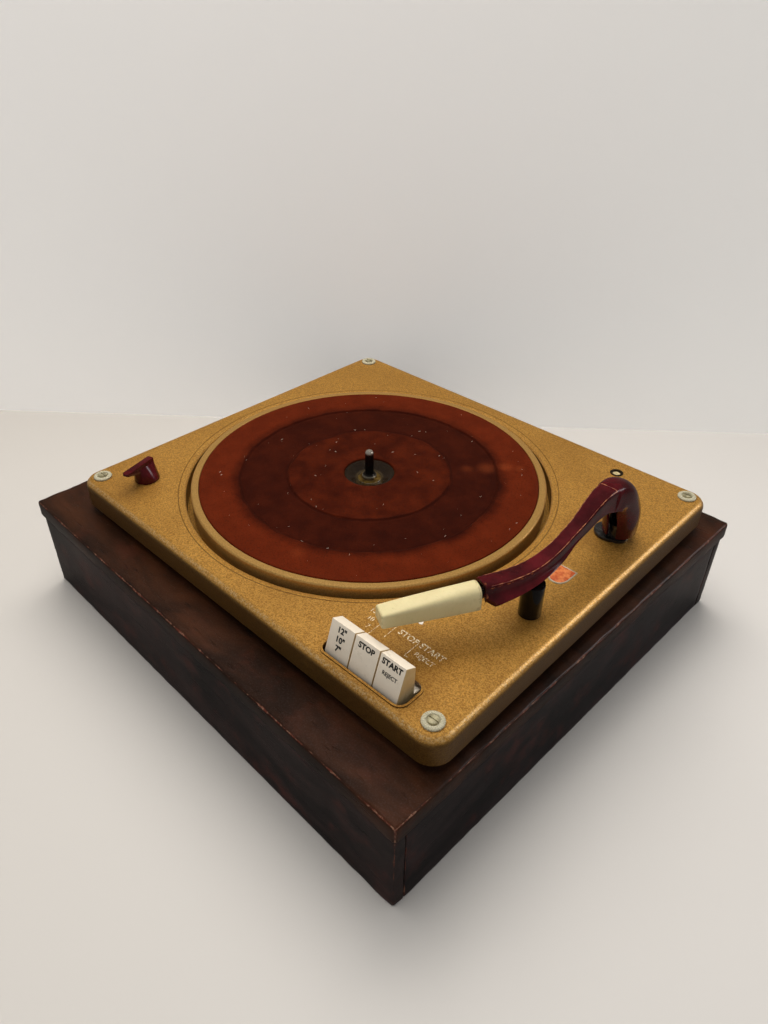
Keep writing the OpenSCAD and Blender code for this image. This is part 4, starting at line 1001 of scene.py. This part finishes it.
core = finish("laminations", laminated, Metallic=0.55, Roughness=0.5)
tape = finish("coil_tape", taped, Roughness=0.55)
grey_steel = finish("grey_steel", pressed_metal("57544e", "8f8b84", 160.0, 0.05), Metallic=0.7)
nylon = finish("nylon", plain_plastic("cfc7b2", "e6e0cf", 120.0, 0.4, 0.15), Specular_IOR_Level=0.4)
black_plastic = finish("black_plastic", plain_plastic("141211", "23201e", 160.0, 0.2, 0.12), Coat_Weight=0.2)
paxolin = finish("paxolin_board", plain_plastic("5b3a1d", "7a5128", 300.0, 0.42, 0.25))
INSIDE = (("motor_core", core, 0.25), ("motor_coil", tape, 0.8), ("motor_rotor", core, 0.3),
          ("motor_pulley", brass, 0.12), ("motor_top_plate", grey_steel, 0.25),
          ("motor_bottom_plate", grey_steel, 0.25), ("motor_grommets", rubber, 0.3),
          ("motor_screws", zinc, 0.2), ("thrust_washer", nylon, 0.1), ("idler_wheel", grey_steel, 0.2),
          ("idler_tyre", rubber, 0.3), ("idler_carrier", zinc, 0.2), ("idler_guide", zinc, 0.2),
          ("idler_clip", zinc, 0.08), ("speed_shaft", zinc, 0.2), ("speed_slide", zinc, 0.2),
          ("slide_studs", zinc, 0.2), ("key_rod", zinc, 0.3), ("key_bracket", grey_steel, 0.25),
          ("mains_switch", paxolin, 0.4), ("terminal_strip", paxolin, 0.3),
          ("arm_pedestal", black_plastic, 0.3), ("pedestal_nut", brass, 0.25),
          ("swing_bracket", old_steel, 0.25), ("swing_lever", grey_steel, 0.25),
          ("head_plug", black_plastic, 0.3), ("cartridge", black_plastic, 0.4), ("stylus", zinc, 0.05))
for node, material, soften in INSIDE:
    dressed(node, material, soften)


# Speed knob: one moulding in dark red bakelite with an overhanging pointer nose, its top edges
# rubbed to orange-brown. It presses onto the shaft of the speed slide.
def moulded_bakelite(place):
    body = place.cloud(45.0, 5.0, 0.6).rise(0.3, 0.75).between("2f0709", "560f15")
    body = body.over(place.worn(260.0, 0.3) * 0.7, "a1582f")
    scuffs = place.stretched((1, 3, 1)).cloud(500.0, 5.0, 0.7).rise(0.62, 0.72)
    smear = place.cloud(90.0, 4.0, 0.6)
    return (body.over(scuffs * 0.25, "8a5a52"), smear * 0.12 + 0.1,
            (smear + place.cloud(600.0) * 0.15).relief(0.1, 0.12))


bakelite = finish("dark_red_bakelite", moulded_bakelite, Specular_IOR_Level=0.3)
dressed("speed_knob", bakelite, 0.7, 25, 4)


# Keys: three piano keys moulded in cream plastic, white on their faces and yellowed down their
# sides. The words are engraved and filled black; each key has its own return spring.
def key_cream(place):
    across = (math.cos(DECK_TURN), math.sin(DECK_TURN), 0)
    facing = place.surface("Normal").vector("DOT_PRODUCT", across, "Value")
    patch = place.cloud(120.0, 5.0, 0.6)
    sides = abs(facing).rise(0.35, 0.85) * (0.5 + patch * 0.5)
    body = patch.between("ddcfb9", "ecdfcb").over(sides, "b8954e")
    body = body.over(place.worn(300.0, 0.4) * 0.4, "a98b5c")
    specks = place.cloud(900.0, 3.0, 0.6).rise(0.68, 0.74)
    return body.over(specks * 0.5, "6b5a44"), patch * 0.2 + 0.2, patch.relief(0.1, 0.1)


key_plastic = finish("cream_key_plastic", key_cream, Coat_Weight=0.2, Coat_Roughness=0.15)
black_ink = finish("black_filling", mottled("17140f", "3d362d", 900.0, step=(0.5, 0.75)), Roughness=0.55)
KEYS_RIGHT, KEY_PITCH, KEY_WIDE = 155.25, 20.6, 19.8
KEY_FRONT, KEY_TALL, KEY_BACK_RUN = -160.0, 22.5, 7.7
KEY_SPRING_IN, KEY_SPRING_FOOT, KEY_SPRING_TALL, KEY_SPRING_KEEP = 22, -26.2, 13.8, 0.7
KEYS = (("size", [('12"', 0.80, 5.6), ('10"', 0.53, 5.6), ('7"', 0.27, 5.6)]),
        ("stop", [("STOP", 0.81, 5.4)]), ("start", [("START", 0.83, 5.4), ("REJECT", 0.53, 3.7)]))
slope = Matrix.Rotation(math.atan2(KEY_TALL, KEY_BACK_RUN), 4, "X")
for number, (key, words) in enumerate(KEYS):
    dressed(f"{key}_key", key_plastic, 0.8, 30, 4)
    middle = KEYS_RIGHT - KEY_WIDE / 2 - (2 - number) * KEY_PITCH
    parts = []
    for text, share, tall in words:
        foot = Vector((middle, KEY_FRONT + KEY_BACK_RUN * share, KEY_TALL * share))
        face = deck_matrix @ Matrix.Translation(foot) @ slope @ Matrix.Translation((0, 0, 0.03))
        parts.append(letters(text, tall, face, 0.04, 0.21 if tall > 4 else 0.09))
    attach(joined(f"{key}_key_words", parts, black_ink), f"{key}_key")
for number, (key, words) in enumerate(KEYS):
    foot = (KEYS_RIGHT - KEY_WIDE / 2 - (2 - number) * KEY_PITCH, KEY_FRONT + KEY_SPRING_IN, KEY_SPRING_FOOT)
    spring = coil_springs(f"key_spring_{number}", [foot], "key_springs", 3.0, 0.4, KEY_SPRING_TALL, 7.0)
    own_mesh(spring)


# Tone arm: a bakelite moulding, open underneath, that rises from the pick-up head to a round
# hood over the pivot. Two fine beads edge its flat top and one side flares to a wing.
ARM_AT = Vector((164.55, 69.7, 0))
# Each row: middle x, y, z; half width, crown height, squareness, left drop, wing reach, right drop, curl.
ARM_ROWS = np.array([
    [0, 1.2, 6.5, 12.3, 12.3, 2, 6, 12.3, 6, 1],
    [0, 0, 17, 13, 13, 2, 6, 13, 6, 1],
    [0, -3, 28, 13.2, 13, 2, 7, 13.2, 7, 1],
    [0, -11.5, 41.5, 12.2, 12.4, 2.1, 8, 12.2, 8, 0.85],
    [0, -20.5, 48.8, 10.4, 11, 2.4, 9, 10.4, 9, 0],
    [0, -31, 52, 8.4, 8.6, 3.2, 9, 8.4, 9, 0],
    [0, -40, 52.4, 7.4, 7.2, 6, 7.5, 7.4, 7.5, 0],
    [0, -50, 49.2, 6.6, 6.6, 8, 5, 6.6, 5, 0],
    [0, -62, 43.6, 5.8, 6.4, 8, 3.2, 5.8, 3.2, 0],
    [0, -75, 39.6, 5.4, 6.2, 8, 3, 5.8, 1.8, 0],
    [-0.4, -91, 35.4, 5.6, 6, 7, 3, 7.4, 2.6, 0],
    [-2.4, -110, 32.8, 6.2, 6, 5, 3.5, 9.6, 2.3, 0],
    [-7.2, -129, 32.4, 6.6, 6, 4, 5, 11.2, 4, 0],
    [-15, -148.8, 33.2, 6.8, 6, 3.2, 7.5, 12.8, 6.4, 0]])
ARM_WALL, HOOD_END, HOOD_BULGE, HOOD_CURL = 2.0, 4.98, 0.8, 72
BEAD_TOP, BEAD_FOOT, BEAD_SHARE, BEAD_THICK = 5.2, 12.75, 0.86, 0.24


def smooth_row(place):
    rows, last = ARM_ROWS, len(ARM_ROWS) - 1
    i = min(int(place), last - 1)
    t = place - i
    a, b, c, d = rows[max(i - 1, 0)], rows[i], rows[i + 1], rows[min(i + 2, last)]
    return 0.5 * (2 * b + (c - a) * t + (2 * a - 5 * b + 4 * c - d) * t ** 2
                  + (3 * b - a - 3 * c + d) * t ** 3)


def arm_row(place):
    """The row of a station: the hood bulges a little and the square arm meets it in a crease."""
    row = smooth_row(place).copy()
    if place < HOOD_END:
        row[3] += HOOD_BULGE * min(1.0, max(0.0, (place - 2.4) / 1.2))
    else:
        row[3] -= 0.35
        row[4] -= 0.6 * max(0.0, 1 - (place - HOOD_END) / 4)
        row[5] = max(row[5], 5.0)
    return row


def on_path(place, flat):
    last = len(ARM_ROWS) - 1
    here, before, after = [smooth_row(p) for p in (place, max(place - 0.05, 0), min(place + 0.05, last))]
    way = Vector(after[:3] - before[:3]).normalized()
    side = Vector((-way.y, way.x, 0)).normalized()
    up = way.cross(side)
    return [Vector(here[:3]) + float(x) * side + float(y) * up for x, y in flat]


def crown(half, tall, square, steps):
    out = []
    for i in range(steps + 1):
        c, s = math.cos(math.pi * (1 - i / steps)), math.sin(math.pi * (1 - i / steps))
        out.append((half * math.copysign(abs(c) ** (2 / square), c), tall * abs(s) ** (2 / square)))
    return out


def channel(row, wall, steps=40):
    """Outline of the open channel: outside over the crown, then back inside."""
    half, tall, square, left, reach, drop, curl = row[3:]
    flare = min(1, max(0, (reach - half) / 3))
    downs, outs = np.linspace(0.2, 1, 5), np.array([0.06, 0.18, 0.4, 0.7, 1.0])

    def side_point(x, y, radius, angle):
        c, s = math.cos(math.radians(angle)), math.sin(math.radians(angle))
        return (1 - curl) * x + curl * radius * c, (1 - curl) * y + curl * radius * s

    left_out = [side_point(-half, -left * d, half, 180 + HOOD_CURL * d) for d in downs[::-1]]
    right_out = [side_point(half + (reach - half) * o, -drop * d, half, -HOOD_CURL * d)
                 for d, o in zip(downs, outs)]
    right_in = [side_point(half + (reach - half) * o - wall, -drop * d - wall * flare,
                           half - wall, -HOOD_CURL * d) for d, o in zip(downs, outs)]
    left_in = [side_point(wall - half, -left * d, half - wall, 180 + HOOD_CURL * d) for d in downs]
    inside = crown(half - wall, tall - wall, square, steps)
    return left_out + crown(half, tall, square, steps) + right_out + right_in[::-1] + inside[::-1] + left_in


HEAD_TURN, HEAD_AT = math.radians(-27.5), Vector((-15.7, -150.7, 0))
head_matrix = deck_matrix @ Matrix.Translation(ARM_AT + HEAD_AT) @ Matrix.Rotation(HEAD_TURN, 4, "Z")
stations = sorted([*np.linspace(0, len(ARM_ROWS) - 1, 13 * 9 + 1), HOOD_END - 0.03, HOOD_END + 0.02])
arm_rings = [on_deck(on_path(s, channel(arm_row(s), ARM_WALL)), ARM_AT) for s in stations]
to_arm = (deck_matrix @ Matrix.Translation(ARM_AT)).inverted()
path_line = [smooth_row(s) for s in stations]


def arm_edge(point):
    """Where hands rub the arm: along its beads, down its wing and at its front end."""
    p = np.array(to_arm @ point)
    row = path_line[int(np.argmin([np.sum((p - r[:3]) ** 2) for r in path_line]))]
    across, _, up = p - row[:3]
    on_top = row[1] < -24 and up > 0.6 * row[4]
    bead = math.exp(-((abs(across) - BEAD_SHARE * row[3]) / 0.6) ** 2) if on_top else 0.0
    wing = max(0.0, min(1.0, (across - row[7] + 1.2) / 1.0)) if row[7] - row[3] > 1 else 0.0
    return max(bead, wing, 1.0 if row[1] < -147 else 0.0)


def rubbed(mesh, measure):
    return mark_edges(mesh, [measure(v.co / MM) for v in mesh.vertices])


wing_cut = prism([(6.4, 3.5), (14, 14), (24, 14), (24, -8), (6.4, -8)], 0, 60, head_matrix)
arm_mesh = carved(closed_form("tone_arm_moulding", *stacked(arm_rings)), [wing_cut])
arm_mesh = rubbed(rounded_edges(arm_mesh, 0.3, 2, 50), arm_edge)
settle(wrap("tone_arm_moulding", arm_mesh, bakelite, 38), "tone_arm")


def on_crown(place, share):
    """A point on the crown, share of the half width from its middle."""
    row = arm_row(place)
    return on_path(place, [(share * row[3], row[4] * (1 - abs(share) ** row[5]) ** (1 / row[5]))])[0]


def rod(line, thick, sides=8):
    """A thin closed rod through a line of points on the arm."""
    rings = []
    for i, here in enumerate(line):
        way = (line[min(i + 1, len(line) - 1)] - line[max(i - 1, 0)]).normalized()
        side = way.cross(Vector((0, 0, 1))).normalized()
        up = side.cross(way)
        rings.append([here + thick * (math.cos(t) * side + math.sin(t) * up)
                      for t in np.linspace(0, 2 * math.pi, sides, endpoint=False)])
    return stacked(rings)


bead_lines = [[on_crown(s, share) for s in np.linspace(BEAD_TOP, BEAD_FOOT, 90)]
              for share in (-BEAD_SHARE, BEAD_SHARE)]
bead_lines.append([on_crown(BEAD_TOP, k) for k in np.linspace(-BEAD_SHARE, BEAD_SHARE, 15)])
beads = [rod(on_deck(line, ARM_AT), BEAD_THICK) for line in bead_lines]
bead_finish = finish("rubbed_bead", mottled("5c1c1a", "c98258", 240.0, 4.0, 0.7, (0.42, 0.62)), Roughness=0.3)
attach(joined("arm_beads", beads, bead_finish), "arm")
dressed("hinge_pin", zinc, 0.15)


# Pick-up head: a tapered shell moulded in cream plastic that pushes onto the arm's plug. It is
# stained at its edges and carries the cartridge and its needle.
# Each row: y, middle height, half width, crown height, squareness, drop of the sides.
HEAD_ROWS = [(0, 30.4, 6.7, 8, 2.6, 7.2), (-0.5, 30.4, 7.05, 8.35, 2.6, 7.5),
             (-1.2, 30.4, 7.2, 8.5, 2.6, 7.6), (-18, 30.3, 7, 7.8, 3, 7.2), (-36, 30.2, 6.7, 6.7, 4, 6.4),
             (-50, 30.1, 6.5, 5.9, 5, 5.6), (-62.6, 30, 6.2, 5.1, 6, 5), (-63.7, 30, 6.0, 4.9, 6, 4.8),
             (-64.3, 30, 5.5, 4.4, 6, 4.4)]
INNER_ROWS = [(-2.5, *HEAD_ROWS[2][1:]), *HEAD_ROWS[3:7]]
HEAD_WALL, PLUG_R, PLUG_HEIGHT = 1.5, 3.5, 30


def head_ring(row, wall, low, steps=36):
    half, foot = row[2] - wall, -row[5] - low
    side = [(half, foot * 0.25), (half, foot * 0.6), (half, foot)]
    flat = [(-x, z) for x, z in side[::-1]] + crown(half, row[3] - wall, row[4], steps) + side
    return [head_matrix @ Vector((x, row[0], row[1] + z)) for x, z in flat]


def between(rows, steps=5):
    out = []
    for a, b in zip(rows, rows[1:]):
        count = steps if abs(a[0] - b[0]) > 4 else 1
        out += [tuple(np.array(a) * (1 - t) + np.array(b) * t) for t in np.arange(count) / count]
    return out + [rows[-1]]


def ivory(place):
    patch = place.cloud(70.0, 5.0, 0.6)
    fibre = place.stretched((60, 160, 60)).cloud(6.0, 4.0)
    body = patch.between("c6b685", "dccd9c").over(fibre.rise(0.5, 0.75) * 0.25, "b8ac7c")
    body = body.over(place.worn(320.0, 0.42) * 0.35, "8d7c52")
    specks = place.cloud(1100.0, 2.0).rise(0.72, 0.77)
    return body.over(specks * 0.6, "5b4a2c"), patch * 0.2 + 0.28, place.cloud(300.0, 4.0).relief(0.12, 0.12)


def head_edge(point):
    p = head_inverse @ point
    return 1.0 if p.y > -1.4 or p.y < -63.4 or p.z < 24 - 0.03 * p.y else 0.0


head_cream = finish("cream_head_plastic", ivory, Coat_Weight=0.12, Coat_Roughness=0.25,
                    Subsurface_Weight=0.06, Subsurface_Scale=0.002)
head_inverse = head_matrix.inverted()
outside = closed_form("head_outside", *stacked([head_ring(row, 0, 0) for row in between(HEAD_ROWS)]))
inside = stacked([head_ring(row, HEAD_WALL, 3) for row in between(INNER_ROWS)])
plug_bore = stacked([[head_matrix @ Vector((PLUG_R * math.cos(t), y, PLUG_HEIGHT + PLUG_R * math.sin(t)))
                      for t in np.linspace(0, 2 * math.pi, 32, endpoint=False)] for y in (-6, 1)])
shell = rubbed(rounded_edges(carved(outside, [inside, plug_bore]), 0.35, 3, 50), head_edge)
settle(wrap("pickup_shell", shell, head_cream, 40), "pickup_head")


# Arm rest: a turned post of black plastic, screwed to the deck, its top scooped for the arm.
rest_black = finish("rest_black", plain_plastic("070605", "0f0c0b", 200.0, 0.06, 0.03),
                    Specular_IOR_Level=0.25, Coat_Weight=0.04, Coat_Roughness=0.2)
dressed("rest_post", rest_black, 0.5, 30, 3)


# Studio: a pale table top against a pale wall, under two wide soft lamps, with one window that
# only shows as a glint. Both papers look darker to mirrored rays, as the real room is.
WALL_TURN, WALL_AWAY, WALL_HALF, WALL_TALL = math.radians(42.5), 0.3073, 3, 0.52
TABLE_HALF, TABLE_DROP = 4, -0.0004
along = Vector((math.cos(WALL_TURN), math.sin(WALL_TURN), 0))
wall_foot = -WALL_AWAY * Vector((math.sin(WALL_TURN), -math.cos(WALL_TURN), 0))


def paper(left, right):
    def paint(place):
        across = place.vector("DOT_PRODUCT", along, "Value")
        # Painted light and shade: each paper goes from one tone at its left to another at its right.
        pale_with_painted_shade = (across.rise(-0.6, 0.6) + place.cloud(3.0, 2.0) * 0.04).between(left, right)
        mirrored = place.node("ShaderNodeLightPath", {}, "Is Glossy Ray")
        return [pale_with_painted_shade.over(mirrored * 0.76, "2a2019")]
    return paint


def sheet(name, corners, material):
    mesh = bpy.data.meshes.new(name)
    mesh.from_pydata([tuple(c) for c in corners], [], [[0, 1, 2, 3]])
    piece = wrap(name, mesh, material)
    return piece


floor_finish = finish("table_top", paper("c6c0b8", "d1ccc6"), Roughness=0.6, Specular_IOR_Level=0.3)
wall_finish = finish("wall", paper("f3f0ec", "eceae6"), Roughness=0.8, Specular_IOR_Level=0.2,
                     Emission_Color=colour("fffaf4"))
# The wall is a little bright to the camera alone, and clear from behind.
tree = wall_finish.node_tree
wall_shader = tree.nodes["Principled BSDF"]
seen = Value(tree, put(tree, "ShaderNodeLightPath").outputs["Is Camera Ray"])
feed(tree, wall_shader.inputs["Emission Strength"], seen * 0.18)
one_sided = put(tree, "ShaderNodeMixShader", {0: put(tree, "ShaderNodeNewGeometry").outputs["Backfacing"],
                                              1: wall_shader.outputs[0],
                                              2: put(tree, "ShaderNodeBsdfTransparent").outputs[0]})
feed(tree, tree.nodes["Material Output"].inputs["Surface"], one_sided.outputs[0])
TABLE_CORNERS = [(x * TABLE_HALF, y * TABLE_HALF, TABLE_DROP)
                 for x, y in ((-1, -1), (1, -1), (1, 1), (-1, 1))]
WALL_CORNERS = [wall_foot + side * WALL_HALF * along + Vector((0, 0, height))
                for side, height in ((-1, 0), (1, 0), (1, WALL_TALL), (-1, WALL_TALL))]
sheet("table_top", TABLE_CORNERS, floor_finish)
backdrop = sheet("wall", WALL_CORNERS, wall_finish)
backdrop.visible_shadow = False


def lamp(name, place, aim, size, power, tone):
    light = bpy.data.lights.new(name, "AREA")
    light.shape, light.size, light.size_y, light.energy, light.color = "RECTANGLE", *size, power, tone
    holder = linked(name, light)
    holder.location = place
    holder.rotation_mode = "QUATERNION"
    holder.rotation_quaternion = (Vector(aim) - Vector(place)).to_track_quat("-Z", "Y")
    return holder


PLAYER_MIDDLE, ARM_HOOD = (0, 0, 0.1), (0.17, 0.07, 0.17)
behind = lamp("panel_behind", (-0.42, 0.42, 1.25), PLAYER_MIDDLE, (1.1, 0.7), 12, (1.0, 0.975, 0.94))
overhead = lamp("panel_overhead", (-0.12, -0.15, 1.6), PLAYER_MIDDLE, (1.3, 1.0), 14.5, (1.0, 0.98, 0.95))
window = lamp("window_right", (0.91, 1.03, 0.86), ARM_HOOD, (0.5, 0.6), 5.2, (0.95, 0.97, 1.0))
behind.visible_glossy = overhead.visible_glossy = window.visible_diffuse = False
world = bpy.data.worlds.new("room")
world.use_nodes = True
room = world.node_tree.nodes["Background"]
room.inputs["Color"].default_value = (0.95, 0.97, 1.0, 1)
mirrored = Value(world.node_tree, put(world.node_tree, "ShaderNodeLightPath").outputs["Is Glossy Ray"])
feed(world.node_tree, room.inputs["Strength"], 0.4 - mirrored * 0.26)
bpy.context.scene.world = world
bpy.context.scene.view_settings.view_transform = "Standard"

# Camera: the photograph's own place and turn.
CAMERA_AT, YAW, PITCH, ROLL = Vector((370.42, -367.28, 463.77)), 0.780949, 0.626408, 0.011835
FILM_WIDE, FOCAL_LENGTH = 36, 26.98
ahead = Vector((-math.sin(YAW) * math.cos(PITCH), math.cos(YAW) * math.cos(PITCH), -math.sin(PITCH)))
level = Vector((math.cos(YAW), math.sin(YAW), 0))
upward = level.cross(ahead)
right = math.cos(ROLL) * level + math.sin(ROLL) * upward
top = -math.sin(ROLL) * level + math.cos(ROLL) * upward
camera_data = bpy.data.cameras.new("camera")
camera_data.sensor_width, camera_data.lens = FILM_WIDE, FOCAL_LENGTH
camera = linked("camera", camera_data)
camera.matrix_world = Matrix.Translation(CAMERA_AT * MM) @ Matrix((right, top, -ahead)).transposed().to_4x4()
bpy.context.scene.camera = camera
